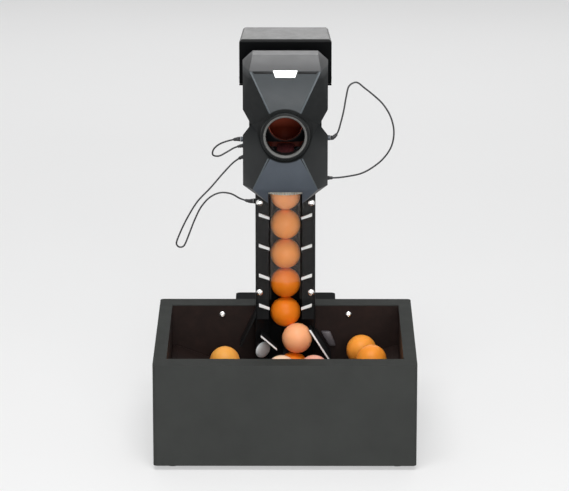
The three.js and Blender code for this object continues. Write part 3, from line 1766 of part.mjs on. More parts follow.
function makeWheels() {
  const hubRadius = wheelRadius - tyreThickness - seatGap;
  const rimInner = hubRadius - hubRim;
  for (const [word, side] of [
    ["upper", 1],
    ["lower", -1],
  ]) {
    const rim = cut(
      rod("x", hubRadius, -wheelHalfWidth, wheelHalfWidth, 0, 0),
      rod("x", rimInner, -wheelHalfWidth - overrun, wheelHalfWidth + overrun, 0, 0),
    );
    const web = rod("x", rimInner + overlap, -hubWeb / 2, hubWeb / 2, 0, 0);
    const boss = rod("x", hubBossRadius - seatGap, -wheelHalfWidth, wheelHalfWidth, 0, 0, coarseSides);
    const shaftEnd = wheelHalfWidth + mountGap + mountThickness + seatGap + wheelShaftDepth;
    const shaft = rod("x", wheelShaftRadius, 0, shaftEnd, 0, 0, coarseSides);
    const hub = join(rim, web, boss, shaft);
    const hubMesh = add(`${word}_wheel_hub`, hub, nylon, tiltHead);
    hubMesh.position.set(0, -wheelLead, side * wheelOffset);
    hubMesh.scale.x = side;

    const inner = wheelRadius - tyreThickness;
    const profile = [
      [inner, -wheelHalfWidth],
      [wheelRadius - tyreCrown, -wheelHalfWidth],
      [wheelRadius, -wheelHalfWidth / 2],
      [wheelRadius, wheelHalfWidth / 2],
      [wheelRadius - tyreCrown, wheelHalfWidth],
      [inner, wheelHalfWidth],
      [inner, -wheelHalfWidth],
    ];
    const tyre = add(`${word}_wheel_tyre`, turned(profile, roundSides), rubberRed, tiltHead);
    tyre.rotation.y = Math.PI / 2;
    tyre.position.set(0, -wheelLead, side * wheelOffset);

    const start = wheelHalfWidth + mountGap + mountThickness + seatGap;
    const can = rod("x", motorRadius, start, start + motorLength, 0, 0);
    const bore = rod("x", motorBore, start - overrun, start + wheelShaftDepth + overrun, 0, 0, coarseSides);
    const motor = add(`${word}_wheel_motor`, cut(can, bore), steel, tiltHead);
    motor.position.set(0, -wheelLead, side * wheelOffset);
    motor.scale.x = side;
  }
}

// Plain pins, pressed into the head's ears and level with the arms outside.
function makeTiltPins() {
  for (const [word, side] of [
    ["left", -1],
    ["right", 1],
  ]) {
    const pin = rod("x", pinRadius, earInner - sectorThickness, yokeOuter, 0, 0, coarseSides);
    add(`tilt_pin_${word}`, pin, steel, tiltHead).scale.x = side;
  }
}

// Hood behind the head: a base with a neck that carries the driver board, and a five-sided cover.
function makeHood() {
  const front = hoodFront;
  const back = hoodFront + hoodDepth;
  const shelfTop = hoodFoot + hoodWall;
  const block = (inset, foot, top, edge) =>
    hull([
      ...mirrored([
        [hoodFrontHalfWidth - inset, front + inset, foot],
        [hoodBackHalfWidth - inset, back - inset, foot],
        [hoodFrontHalfWidth - inset, front + inset, top - edge],
        [hoodBackHalfWidth - inset, back - inset, top - edge],
        [hoodFrontHalfWidth - inset - edge, front + inset + edge, top],
        [hoodBackHalfWidth - inset - edge, back - inset - edge, top],
      ]),
    ]);
  const shellFoot = shelfTop + seatGap;
  const neckCut = box(
    -neckHalfWidth - seatGap,
    neckHalfWidth + seatGap,
    front - overrun,
    front + hoodWall + overrun,
    shellFoot - overrun,
    neckTop + seatGap,
  );
  const cover = cut(
    block(0, shellFoot, hoodTop, hoodEdge),
    block(hoodWall, shellFoot - overrun, hoodTop - hoodWall, hoodEdge),
    neckCut,
  );
  add("hood", cover, black, tiltHead);

  const base = hull(
    mirrored([
      [hoodFrontHalfWidth, front, hoodFoot],
      [hoodBackHalfWidth, back, hoodFoot],
      [hoodFrontHalfWidth, front, shelfTop],
      [hoodBackHalfWidth, back, shelfTop],
    ]),
  );
  const neckFront = -rearLead + seatGap;
  const neckBack = front + hoodWall;
  const neck = cut(
    box(-neckHalfWidth, neckHalfWidth, neckFront, neckBack, hoodFoot, neckTop),
    box(
      -neckHalfWidth + hoodWall,
      neckHalfWidth - hoodWall,
      neckFront - overrun,
      neckBack + overrun,
      neckFoot,
      neckTop - hoodWall,
    ),
  );
  const boardLevel = shelfTop + headBoardStandoff;
  const boardFront = front + (hoodDepth - headBoardDepth) / 2;
  const inset = headBoardHalfWidth - standoffInset;
  const standoffs = mirrored([
    [inset, boardFront + standoffInset, 0],
    [inset, boardFront + headBoardDepth - standoffInset, 0],
  ]).map(([x, y]) => rod("z", standoffRadius, hoodFoot + overlap, boardLevel - seatGap, x, y, smallSides));
  add("hood_base", join(base, neck, ...standoffs), black, tiltHead);

  const board = box(
    -headBoardHalfWidth,
    headBoardHalfWidth,
    boardFront,
    boardFront + headBoardDepth,
    boardLevel,
    boardLevel + boardThickness,
  );
  const chips = [-1, 0, 1].map((place) =>
    box(
      place * headChipPitch - chipSize / 2,
      place * headChipPitch + chipSize / 2,
      boardFront + chipSize,
      boardFront + chipSize + chipSize,
      boardLevel + overlap,
      boardLevel + boardThickness + headChipHeight,
    ),
  );
  add("head_board", join(board, ...chips), green, tiltHead);
}

function makeCables() {
  const section = new THREE.Shape();
  for (let side = 0; side < cableSides; side += 1) {
    const angle = (side / cableSides) * 2 * Math.PI;
    const x = cableRadius * Math.cos(angle);
    const y = cableRadius * Math.sin(angle);
    if (side === 0) {
      section.moveTo(x, y);
    } else {
      section.lineTo(x, y);
    }
  }
  for (const [name, points] of Object.entries(cableRoutes)) {
    const route = new THREE.CatmullRomCurve3(points.map(([x, y, z]) => new THREE.Vector3(x, y, z)));
    const steps = Math.round(route.getLength() / cableStep);
    const geometry = new THREE.ExtrudeGeometry(section, { steps, extrudePath: route, bevelEnabled: false });
    add(name, geometry, rubberBlack);
  }
}

// A ball's centre height where it lies on the tray at (x, y), on a slope that tilts both ways.
function restingHeight(x, y) {
  const reach = 1;
  const here = trayHeight(x, y);
  const slopeX = (trayHeight(x + reach, y) - here) / reach;
  const slopeY = (trayHeight(x, y + reach) - here) / reach;
  return here + (ballRadius + ballGap) * Math.sqrt(1 + slopeX ** 2 + slopeY ** 2);
}

// Centre of the ball that rests against two others, on the side that it leans to.
function between(upper, lower) {
  const line = lower.clone().sub(upper);
  const lean = new THREE.Vector3(...nextBallLean).projectOnPlane(line.clone().normalize()).normalize();
  const apart = ballDiameter + leaningGap;
  const reach = Math.sqrt(Math.max(0, apart ** 2 - line.lengthSq() / 4));
  return upper.clone().addScaledVector(line, 1 / 2).addScaledVector(lean, reach).toArray();
}

function makeBalls() {
  const ball = new THREE.IcosahedronGeometry(ballRadius, ballDetail);
  const goldenRatio = (1 + Math.sqrt(5)) / 2;
  ball.rotateX(-Math.atan2(1, goldenRatio));
  const places = [];
  for (let index = 0; index < columnBallCount; index += 1) {
    places.push([`column_ball_${index + 1}`, 0, channelY, topBallCentre - index * ballPitch]);
  }
  const lowest = new THREE.Vector3(0, channelY, lowestBallHeight);
  const under = new THREE.Vector3(underBallPlace[0], underBallY, lowestBallHeight - stackRise);
  places.push(["next_ball", ...between(lowest, under)]);
  const trough = [
    ["tray_ball_under", ...underBallPlace],
    ["tray_ball_middle", ...middleBallPlace],
    ["tray_ball_near", ...nearBallPlace],
  ];
  const wingEnd = columnHalfWidth + wingReach;
  const slopes = slopeBalls.map(([name, side, lead], index) => [
    name,
    side * (wingEnd + slopeBallShares[index] * (wellHalfWidth - wingEnd)),
    lead,
  ]);
  for (const [name, x, lead] of [...trough, ...slopes]) {
    const y = channelY - lead;
    places.push([name, x, y, restingHeight(x, y)]);
  }
  for (const [name, x, y, z] of places) {
    add(name, ball.clone(), orange).position.set(x, y, z);
  }
}

makeBox();
makeBasePlate();
makeFeet();
makeTray();
makeThroat();
makeColumn();
makeClearCover();
makeScrews();
makeHousing();
makeFeedDrive();
makeElectrics();
makePanRing();
makeYoke();
makePanDrive();
makeElbow();
makeTiltDrive();
makeHeadFront();
makeHeadRear();
makeExitRing();
makeStatusWindow();
makeWheels();
makeTiltPins();
makeHood();
makeCables();
makeBalls();

export default robot;
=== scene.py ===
"""Looks of the table tennis robot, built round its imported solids. Lengths below are in millimetres."""
import math
import random

import bmesh
import bpy
from mathutils import Matrix, Vector


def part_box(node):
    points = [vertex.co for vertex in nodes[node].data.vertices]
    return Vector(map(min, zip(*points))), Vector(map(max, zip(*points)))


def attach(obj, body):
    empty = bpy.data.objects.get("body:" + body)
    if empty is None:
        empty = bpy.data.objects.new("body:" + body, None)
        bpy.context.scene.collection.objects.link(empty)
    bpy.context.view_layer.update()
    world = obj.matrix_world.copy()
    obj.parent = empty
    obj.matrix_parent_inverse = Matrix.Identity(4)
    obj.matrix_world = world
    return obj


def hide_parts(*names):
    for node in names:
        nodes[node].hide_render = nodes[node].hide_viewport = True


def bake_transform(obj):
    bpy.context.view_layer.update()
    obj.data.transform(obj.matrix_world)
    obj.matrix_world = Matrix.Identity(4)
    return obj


MM = 0.001
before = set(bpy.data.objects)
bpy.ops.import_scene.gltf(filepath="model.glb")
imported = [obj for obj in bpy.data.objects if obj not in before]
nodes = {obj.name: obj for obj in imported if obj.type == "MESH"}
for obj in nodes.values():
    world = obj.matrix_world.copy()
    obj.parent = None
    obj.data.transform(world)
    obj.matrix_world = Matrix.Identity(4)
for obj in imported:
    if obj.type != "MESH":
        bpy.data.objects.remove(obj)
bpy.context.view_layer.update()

# Camera: the photograph's standpoint, turned to the robot and with a longer lens, in metres
CAMERA_PLACE = (0.012, -4.3835, 1.510)
CAMERA_TARGET = (-0.001, 0.0, 0.249)
CAMERA_LENS = 222.0

# Places from the solids
CHANNEL_Y = 75.0
TILT_AXIS = (0.0, 48.0, 402.0)
UPPER_PANEL_TOP = (-18.0, 486.0)
UPPER_PANEL_LEAN = -9 / 58
LOWER_PANEL_TOP = (-26.8, 376.0)
LOWER_PANEL_LEAN = 7 / 46
COLUMN_FRONT = 60.0
COVER_FRONT = 57.7
GUIDE_FRONT = 45.2
HOUSING_BACK = 170.0
WELL_HALF_WIDTH = 151.2
WELL_HALF_DEPTH = 117.5
WELL_MIDDLE_Y = -25.0
WELL_TOP = 138.8
STAGE_TOP = 317.3
CABLE_RADIUS = 1.1
BALL_RADIUS = 20.0

# Where a colour changes from one tone to the next: heights, and distances from a middle line. Most of them
# place painted light and shade
PANEL_FADE = (376.0, 426.0)
FACET_FADE = (376.0, 412.0)
SIDE_FADE = (474.0, 487.0)
BROW_FADE = (484.5, 486.5)
ELBOW_LIT_FADE = (384.0, 402.0)
NOSE_FADE = (35.0, 36.4)
LIP_FADE = (27.6, 28.3)
ELBOW_RIM_FADE = (21.9, 22.4)
ELBOW_MOUTH_FADE = (44.0, 48.0)
COVER_BULGE_FADE = (19.2, 19.7)

# Colours, linear
CHARCOAL = (0.031, 0.033, 0.031)
# Painted shade: the dark brown inside the ball well
WELL_SHADE_BROWN = (0.012, 0.0058, 0.0045)
BLACK = (0.005, 0.0055, 0.006)
# Painted light and shade on the head: brow and lower panel paler, facets darker, black round the nose
BROW_PAINTED_HIGHLIGHT = (0.055, 0.056, 0.058)
HEAD_PANEL = (0.024, 0.030, 0.034)
LOW_PANEL_PAINTED_REFLECTION = (0.073, 0.087, 0.107)
FACET_PAINTED_SHADE = (0.0105, 0.012, 0.0125)
LOW_FACET_PAINTED_LIGHT = (0.0325, 0.034, 0.0345)
NOSE_PAINTED_SHADOW = (0.006, 0.007, 0.007)
ORANGE = (0.87, 0.215, 0.008)
WHITE = (0.90, 0.90, 0.89)
DUST = (0.42, 0.41, 0.39)

# Height of the moulded grain, in metres
GRAIN_DEPTH = 0.00004


def settle(node, values):
    """Sets a node's plain sockets by name."""
    for word, value in values.items():
        node.inputs[word].default_value = value


def linked(made):
    """Puts an object into the scene."""
    bpy.context.scene.collection.objects.link(made)
    return made


def wire(tree, output, node, word):
    """Links an output to a node's socket, by its name or number."""
    tree.links.new(output, node.inputs[word])


def new_material(name):
    """A material with its node tree, its shader and the piece's own coordinates."""
    material = bpy.data.materials.new(name)
    material.use_nodes = True
    tree = material.node_tree
    place = tree.nodes.new("ShaderNodeTexCoord").outputs["Object"]
    return material, tree, tree.nodes["Principled BSDF"], place


def noise_of(tree, coordinates, scale, detail=3.0, roughness=0.55):
    node = tree.nodes.new("ShaderNodeTexNoise")
    settle(node, {"Scale": scale, "Detail": detail, "Roughness": roughness})
    wire(tree, coordinates, node, "Vector")
    return node.outputs["Fac"]


def ramp_of(tree, value, low, high, first, last):
    """A ramp from the colour first, at low, to the colour last, at high."""
    node = tree.nodes.new("ShaderNodeValToRGB")
    stops = node.color_ramp.elements
    stops[0].position = low
    stops[0].color = (*first, 1)
    stops[1].position = high
    stops[1].color = (*last, 1)
    wire(tree, value, node, "Fac")
    return node.outputs["Color"]


def math_of(tree, kind, first, second=0.0):
    node = tree.nodes.new("ShaderNodeMath")
    node.operation = kind
    for socket, value in zip(node.inputs, (first, second)):
        if isinstance(value, (int, float)):
            socket.default_value = value
        else:
            tree.links.new(value, socket)
    return node.outputs["Value"]


def mix_of(tree, factor, first, second):
    node = tree.nodes.new("ShaderNodeMix")
    node.data_type = "RGBA"
    wire(tree, factor, node, "Factor")
    for socket, value in ((node.inputs["A"], first), (node.inputs["B"], second)):
        if isinstance(value, tuple):
            socket.default_value = (*value, 1)
        else:
            tree.links.new(value, socket)
    return node.outputs["Result"]


def bump_of(tree, height, distance, strength=1.0, under=None):
    node = tree.nodes.new("ShaderNodeBump")
    settle(node, {"Distance": distance, "Strength": strength})
    wire(tree, height, node, "Height")
    if under is not None:
        wire(tree, under, node, "Normal")
    return node.outputs["Normal"]


def range_of(tree, value, low, high, first=0.0, last=1.0):
    """Spreads a value between low and high over the range from first to last, and holds it there."""
    node = tree.nodes.new("ShaderNodeMapRange")
    settle(node, {"From Min": low, "From Max": high, "To Min": first, "To Max": last})
    wire(tree, value, node, "Value")
    return node.outputs["Result"]


def fade_of(tree, value, span, first=0.0, last=1.0):
    """The same, with the span in millimetres."""
    low, high = span
    return range_of(tree, value, low * MM, high * MM, first, last)


def parts_of(tree, vector):
    """The X, Y and Z outputs of a vector."""
    node = tree.nodes.new("ShaderNodeSeparateXYZ")
    wire(tree, vector, node, "Vector")
    return node.outputs["X"], node.outputs["Y"], node.outputs["Z"]


def normal_of(tree):
    """The X, Y and Z outputs of the direction that the surface faces."""
    return parts_of(tree, tree.nodes.new("ShaderNodeTexCoord").outputs["Normal"])


def stretched(tree, place, scale):
    node = tree.nodes.new("ShaderNodeMapping")
    settle(node, {"Scale": scale})
    wire(tree, place, node, "Vector")
    return node.outputs["Vector"]


def tinted(color, share):
    return tuple(min(1.0, c * share) for c in color)


def dusted(tree, place, tone, dust):
    """Lays a patchy film of dust over what faces up."""
    patches = range_of(tree, noise_of(tree, place, 210.0, 5.0, 0.7), 0.3, 0.75, 0.35)
    level = range_of(tree, normal_of(tree)[2], 0.72, 0.98, 0.0, dust)
    return mix_of(tree, math_of(tree, "MULTIPLY", level, patches), tone, DUST)


def finish_of(tree, shader, place, roughness, grain=2600.0):
    """Smears in the gloss and a fine spark-eroded grain."""
    gloss = range_of(tree, noise_of(tree, place, 95.0), 0.0, 1.0, roughness - 0.07, roughness + 0.09)
    wire(tree, gloss, shader, "Roughness")
    grains = noise_of(tree, place, grain, 2.0)
    wire(tree, bump_of(tree, grains, GRAIN_DEPTH), shader, "Normal")


def plastic(name, color, roughness, spread=0.12, grain=2600.0, coat=0.0, dust=0.0, sheen=0.5,
            painted_top_sheen=0.0):
    """Moulded plastic with slow changes of tone, and a little dust on what faces up; painted_top_sheen adds
    a painted sheen there.
    """
    material, tree, shader, place = new_material(name)
    slow = noise_of(tree, place, 34.0, 4.0)
    tone = ramp_of(tree, slow, 0.3, 0.72, tinted(color, 1 - spread), tinted(color, 1 + spread))
    if dust:
        tone = dusted(tree, place, tone, dust)
    wire(tree, tone, shader, "Base Color")
    finish_of(tree, shader, place, roughness, grain)
    settle(shader, {"Specular IOR Level": sheen, "Coat Weight": coat, "Coat Roughness": 0.15})
    # Painted sheen: more reflection on what faces up
    if painted_top_sheen:
        level = range_of(tree, normal_of(tree)[2], 0.6, 0.95, sheen, painted_top_sheen)
        wire(tree, level, shader, "Specular IOR Level")
    return material


def radius_of(tree, place):
    """The distance from the exit's middle line, for the pieces round it."""
    x, _, z = parts_of(tree, place)
    up = math_of(tree, "SUBTRACT", z, TILT_AXIS[2] * MM)
    square = math_of(tree, "ADD", math_of(tree, "MULTIPLY", x, x), math_of(tree, "MULTIPLY", up, up))
    return math_of(tree, "SQRT", square)


def head_plastic():
    """The head: paler panels down its front and top, and darker facets at its sides and round its nose; the
    paler brow and lower panel are painted light, the darker facets and nose surround painted shade.
    """
    material, tree, shader, place = new_material("head_grey")
    slow = noise_of(tree, place, 40.0, 4.0)
    height = parts_of(tree, place)[2]
    # Painted light: the lower panel paler where it faces the floor, the brow paler where it faces the lamps
    panel = mix_of(tree, fade_of(tree, height, PANEL_FADE), LOW_PANEL_PAINTED_REFLECTION, HEAD_PANEL)
    panel = mix_of(tree, fade_of(tree, height, BROW_FADE), panel, BROW_PAINTED_HIGHLIGHT)
    # Painted shade on the upper side facets, painted light on the lower ones
    shaded_facet = mix_of(tree, fade_of(tree, height, FACET_FADE), LOW_FACET_PAINTED_LIGHT, FACET_PAINTED_SHADE)
    worn = ramp_of(tree, slow, 0.3, 0.72, (0.85, 0.85, 0.85), (1.0, 1.0, 1.0))
    # Which faces are side facets, for the painted shade; near the brow the mask weakens, leaving their tops
    # lit
    sideways = math_of(tree, "ABSOLUTE", normal_of(tree)[0])
    low = fade_of(tree, height, SIDE_FADE, 1.0, 0.3)
    aside = math_of(tree, "MULTIPLY", range_of(tree, sideways, 0.12, 0.34), low)
    tone = mix_of(tree, aside, panel, shaded_facet)
    shaded = tree.nodes.new("ShaderNodeVectorMath")
    shaded.operation = "MULTIPLY"
    tree.links.new(tone, shaded.inputs[0])
    tree.links.new(worn, shaded.inputs[1])
    # Painted shadow round the nose
    near = fade_of(tree, radius_of(tree, place), NOSE_FADE, 1.0, 0.0)
    tone = mix_of(tree, near, shaded.outputs["Vector"], NOSE_PAINTED_SHADOW)
    wire(tree, tone, shader, "Base Color")
    # Painted sheen: more reflection on the brow, less on the side facets and round the nose
    brow_sheen = fade_of(tree, height, BROW_FADE, 0.33, 0.43)
    plain = math_of(tree, "MAXIMUM", aside, near)
    sheen = math_of(tree, "MULTIPLY", brow_sheen, range_of(tree, plain, 0.0, 1.0, 1.0, 0.16))
    settle(shader, {"Specular IOR Level": 0.2})
    wire(tree, sheen, shader, "Specular IOR Level")
    finish_of(tree, shader, place, 0.4, 3200.0)
    return material


def ring_plastic():
    """The exit ring: dark outside, in the same painted shadow as round the nose, with a paler grey lip."""
    material, tree, shader, place = new_material("ring_grey")
    outside = fade_of(tree, radius_of(tree, place), LIP_FADE)
    clouds = noise_of(tree, place, 60.0)
    lip = ramp_of(tree, clouds, 0.3, 0.7, (0.105, 0.106, 0.102), (0.135, 0.134, 0.128))
    wire(tree, mix_of(tree, outside, lip, NOSE_PAINTED_SHADOW), shader, "Base Color")
    finish_of(tree, shader, place, 0.4)
    settle(shader, {"Specular IOR Level": 0.16})
    return material


def tube_plastic():
    """The feed elbow: dark red, redder inside its top with painted light, and nearly black round its mouth
    with painted shade.
    """
    material, tree, shader, place = new_material("tube_red")
    _, y, z = parts_of(tree, place)
    # Painted light: the inner wall redder towards the top
    facing = range_of(tree, normal_of(tree)[1], -0.5, -0.1, 1.0, 0.0)
    inside = math_of(tree, "MULTIPLY", facing, fade_of(tree, z, ELBOW_LIT_FADE))
    tone = mix_of(tree, inside, (0.10, 0.012, 0.004), (0.62, 0.13, 0.075))
    # Painted shade round the mouth
    rim = fade_of(tree, radius_of(tree, place), ELBOW_RIM_FADE)
    mouth_shade = math_of(tree, "MULTIPLY", rim, fade_of(tree, y, ELBOW_MOUTH_FADE, 1.0, 0.0))
    wire(tree, mix_of(tree, mouth_shade, tone, (0.012, 0.004, 0.003)), shader, "Base Color")
    finish_of(tree, shader, place, 0.45)
    settle(shader, {"Specular IOR Level": 0.2})
    return material


def box_plastic():
    """The ball box: textured charcoal outside, and a darker, browner well, its darkness painted shade."""
    material, tree, shader, place = new_material("box_charcoal")
    slow = noise_of(tree, place, 22.0, 4.0)
    outside = ramp_of(tree, slow, 0.3, 0.72, tinted(CHARCOAL, 0.9), tinted(CHARCOAL, 1.1))
    # Painted shade inside the well, blotched by noise
    shade_blotches = noise_of(tree, place, 60.0, 5.0, 0.6)
    inside = ramp_of(tree, shade_blotches, 0.42, 0.75, WELL_SHADE_BROWN, tinted(WELL_SHADE_BROWN, 1.7))
    x, y, z = parts_of(tree, place)
    within_x = math_of(tree, "LESS_THAN", math_of(tree, "ABSOLUTE", x), WELL_HALF_WIDTH * MM)
    centred = math_of(tree, "ABSOLUTE", math_of(tree, "SUBTRACT", y, WELL_MIDDLE_Y * MM))
    within_y = math_of(tree, "LESS_THAN", centred, WELL_HALF_DEPTH * MM)
    below = math_of(tree, "LESS_THAN", z, WELL_TOP * MM)
    well_shade = math_of(tree, "MULTIPLY", math_of(tree, "MULTIPLY", within_x, within_y), below)
    wire(tree, mix_of(tree, well_shade, outside, inside), shader, "Base Color")
    cells = tree.nodes.new("ShaderNodeTexVoronoi")
    settle(cells, {"Scale": 900.0})
    wire(tree, place, cells, "Vector")
    low = bump_of(tree, cells.outputs["Distance"], 0.00005, 0.5)
    grain = noise_of(tree, place, 2100.0)
    wire(tree, bump_of(tree, grain, GRAIN_DEPTH, 0.8, low), shader, "Normal")
    gloss = range_of(tree, noise_of(tree, place, 70.0), 0.0, 1.0, 0.5, 0.68)
    wire(tree, gloss, shader, "Roughness")
    # Less reflection on what faces up: painted shade that darkens the rim tops
    sheen = range_of(tree, normal_of(tree)[2], 0.5, 0.9, 0.2, 0.02)
    settle(shader, {"Specular IOR Level": 0.15})
    wire(tree, sheen, shader, "Specular IOR Level")
    return material


def rubber(name, color, roughness=0.8, grit=1400.0, depth=0.00012, sheen=0.5):
    """Rubber or a soft sheath: blotchy and gritty."""
    material, tree, shader, place = new_material(name)
    worn = noise_of(tree, place, 120.0, 5.0, 0.65)
    tone = ramp_of(tree, worn, 0.35, 0.7, tinted(color, 0.75), tinted(color, 1.3))
    wire(tree, tone, shader, "Base Color")
    settle(shader, {"Roughness": roughness, "Specular IOR Level": sheen})
    wire(tree, bump_of(tree, noise_of(tree, place, grit), depth), shader, "Normal")
    return material


def metal(name, color, roughness, stretch=(1.0, 1.0, 12.0)):
    """Drawn or turned metal with fine lines along it."""
    material, tree, shader, place = new_material(name)
    lines = noise_of(tree, stretched(tree, place, stretch), 700.0)
    tone = ramp_of(tree, lines, 0.3, 0.7, tinted(color, 0.86), tinted(color, 1.08))
    wire(tree, tone, shader, "Base Color")
    settle(shader, {"Metallic": 1.0})
    gloss = range_of(tree, lines, 0.0, 1.0, roughness - 0.06, roughness + 0.1)
    wire(tree, gloss, shader, "Roughness")
    wire(tree, bump_of(tree, lines, 0.00002, 0.5), shader, "Normal")
    return material


def ball_plastic(name, color):
    """A ball's skin: matt, a little see-through, scuffed where it has been rolled."""
    material, tree, shader, place = new_material(name)
    scuffs = noise_of(tree, place, 260.0, 6.0, 0.7)
    pale = tuple(min(1.0, c * 0.97 + 0.02) for c in color)
    tone = ramp_of(tree, scuffs, 0.5, 0.8, color, pale)
    wire(tree, tone, shader, "Base Color")
    settle(shader, {
        "Roughness": 0.42,
        "Specular IOR Level": 0.22,
        "Subsurface Weight": 0.12,
        "Subsurface Radius": (0.9, 0.35, 0.12),
        "Subsurface Scale": 0.004,
    })
    wire(tree, bump_of(tree, noise_of(tree, place, 1900.0), 0.00003), shader, "Normal")
    return material


def clear_plastic():
    """Clear sheet, lightly scratched: plain on its flat flanges, a little milky where it bulges, the milk
    partly a painted glare.
    """
    material, tree, shader, place = new_material("clear_cover")
    scratches = noise_of(tree, stretched(tree, place, (1.0, 1.0, 0.08)), 900.0, 4.0, 0.7)
    # Milkier on the bulge: partly the sheet's haze, partly painted glare
    milk_and_glare = range_of(tree, scratches, 0.35, 0.75, 0.025, 0.06)
    clean = range_of(tree, scratches, 0.35, 0.75, 0.003, 0.009)
    across = math_of(tree, "ABSOLUTE", parts_of(tree, place)[0])
    aside = fade_of(tree, across, COVER_BULGE_FADE)
    kept = math_of(tree, "MULTIPLY", milk_and_glare, math_of(tree, "SUBTRACT", 1.0, aside))
    haze = math_of(tree, "ADD", kept, math_of(tree, "MULTIPLY", clean, aside))
    wire(tree, haze, shader, "Alpha")
    settle(shader, {"Base Color": (1.0, 0.86, 0.78, 1), "Roughness": 0.09})
    return material


def board_green():
    """Circuit board: solder mask over fine copper tracks."""
    material, tree, shader, place = new_material("board_green")
    tracks = tree.nodes.new("ShaderNodeTexBrick")
    settle(tracks, {
        "Scale": 160.0,
        "Mortar Size": 0.06,
        "Color1": (0.012, 0.085, 0.035, 1),
        "Color2": (0.015, 0.1, 0.042, 1),
        "Mortar": (0.05, 0.2, 0.08, 1),
    })
    wire(tree, place, tracks, "Vector")
    wire(tree, tracks.outputs["Color"], shader, "Base Color")
    settle(shader, {"Roughness": 0.35})
    return material


def window_white():
    """The status light's diffusing window, faintly lit."""
    material, tree, shader, place = new_material("status_white")
    cloud = noise_of(tree, place, 300.0, 2.0)
    tone = ramp_of(tree, cloud, 0.3, 0.7, (0.82, 0.84, 0.85), (0.9, 0.9, 0.9))
    wire(tree, tone, shader, "Base Color")
    settle(shader, {"Roughness": 0.3, "Emission Color": (1.0, 1.0, 1.0, 1), "Emission Strength": 0.6})
    return material


materials = {
    "box": box_plastic(),
    # The tray's dark brown carries painted shade, like the well round it
    "tray": plastic("tray_painted_shade_brown", (0.015, 0.008, 0.0065), 0.55, spread=0.25, grain=1800.0, sheen=0.2),
    "black": plastic("column_black", BLACK, 0.42, sheen=0.2),
    "matt": plastic("housing_black", tinted(BLACK, 1.2), 0.7, sheen=0.02),
    # The hood: a painted sheen on its top, and almost no reflection on its front and sides
    "hood": plastic("hood_black", tinted(BLACK, 0.5), 0.34, dust=0.09, sheen=0.03, painted_top_sheen=0.32),
    "head": head_plastic(),
    # Painted highlights along the head's panel edges
    "edge": plastic("panel_edge_painted_highlight", tinted(HEAD_PANEL, 2.3), 0.4, spread=0.06),
    "ring": ring_plastic(),
    "tube": tube_plastic(),
    "charcoal": plastic("pad_charcoal", (0.085, 0.075, 0.08), 0.45),
    "white": plastic("trim_white", WHITE, 0.38, spread=0.04),
    "pad": plastic("pad_grey", (0.62, 0.64, 0.65), 0.4, spread=0.08),
    "nylon": plastic("nylon_natural", (0.62, 0.6, 0.53), 0.42, spread=0.06),
    "clear": clear_plastic(),
    "window": window_white(),
    "rocker": plastic("rocker_red", (0.35, 0.015, 0.012), 0.25, coat=0.3),
    "foot": rubber("foot_rubber", (0.02, 0.02, 0.021)),
    "tyre": rubber("wheel_rubber", (0.036, 0.0055, 0.0065), 0.7, 2200.0, sheen=0.15),
    "cable": rubber("cable_sheath", (0.021, 0.021, 0.023), 0.5, 900.0, 0.00003),
    "zinc": metal("zinc_bright", (0.95, 0.93, 0.91), 0.22),
    "can": metal("motor_can", (0.6, 0.6, 0.6), 0.3),
    "oxide": metal("blackened_steel", (0.06, 0.06, 0.065), 0.4),
    "steel": metal("ground_steel", (0.55, 0.55, 0.56), 0.28, (1.0, 1.0, 1.0)),
    "brass": metal("contact_brass", (0.75, 0.55, 0.22), 0.3),
    "board": board_green(),
}


# The solids that keep their own form, by material and edge radius
KEPT = {
    ("box", 0.9): "hopper_box",
    ("tray", 0.4): "ball_tray",
    ("black", 0.5): "base_plate feed_throat column_shell feed_wheel pan_yoke",
    ("black", 0.3): "power_inlet",
    ("matt", 0.9): "drive_housing",
    ("clear", 0.3): "clear_cover",
    ("steel", 0.2): "feed_shaft",
    ("steel", 0.1): "pan_pinion tilt_worm",
    ("board", 0.1): "control_board head_board",
    ("rocker", 0.5): "power_rocker",
    ("nylon", 0.12): "pan_ring",
    ("nylon", 0.3): "upper_wheel_hub lower_wheel_hub",
    ("head", 1.0): "head_front_cover",
    ("head", 0.5): "head_rear_shell",
    ("hood", 0.9): "hood",
    ("hood", 0.6): "hood_base",
    ("oxide", 0.3): "tilt_pin_left tilt_pin_right",
    ("foot", 0.5): "front_left_foot front_right_foot rear_left_foot rear_right_foot",
}
EDGE_ANGLE = math.radians(33)
FLAT_ANGLE = math.radians(0.4)
WELD_DISTANCE = 0.004


def smooth_faces():
    """A node group that welds a solid's loose triangles and shades them smooth."""
    tree = bpy.data.node_groups.new("smooth_faces", "GeometryNodeTree")
    tree.interface.new_socket("Geometry", in_out="INPUT", socket_type="NodeSocketGeometry")
    tree.interface.new_socket("Geometry", in_out="OUTPUT", socket_type="NodeSocketGeometry")
    start = tree.nodes.new("NodeGroupInput")
    weld = tree.nodes.new("GeometryNodeMergeByDistance")
    settle(weld, {"Distance": WELD_DISTANCE * MM})
    shading = tree.nodes.new("GeometryNodeSetMeshNormal")
    shading.mode = "SHARPNESS"
    settle(shading, {"Remove Custom": True, "Edge Sharpness": False, "Face Sharpness": False})
    end = tree.nodes.new("NodeGroupOutput")
    wire(tree, start.outputs["Geometry"], weld, "Geometry")
    wire(tree, weld.outputs["Geometry"], shading, "Mesh")
    wire(tree, shading.outputs["Mesh"], end, "Geometry")
    return tree


SMOOTH_FACES = smooth_faces()


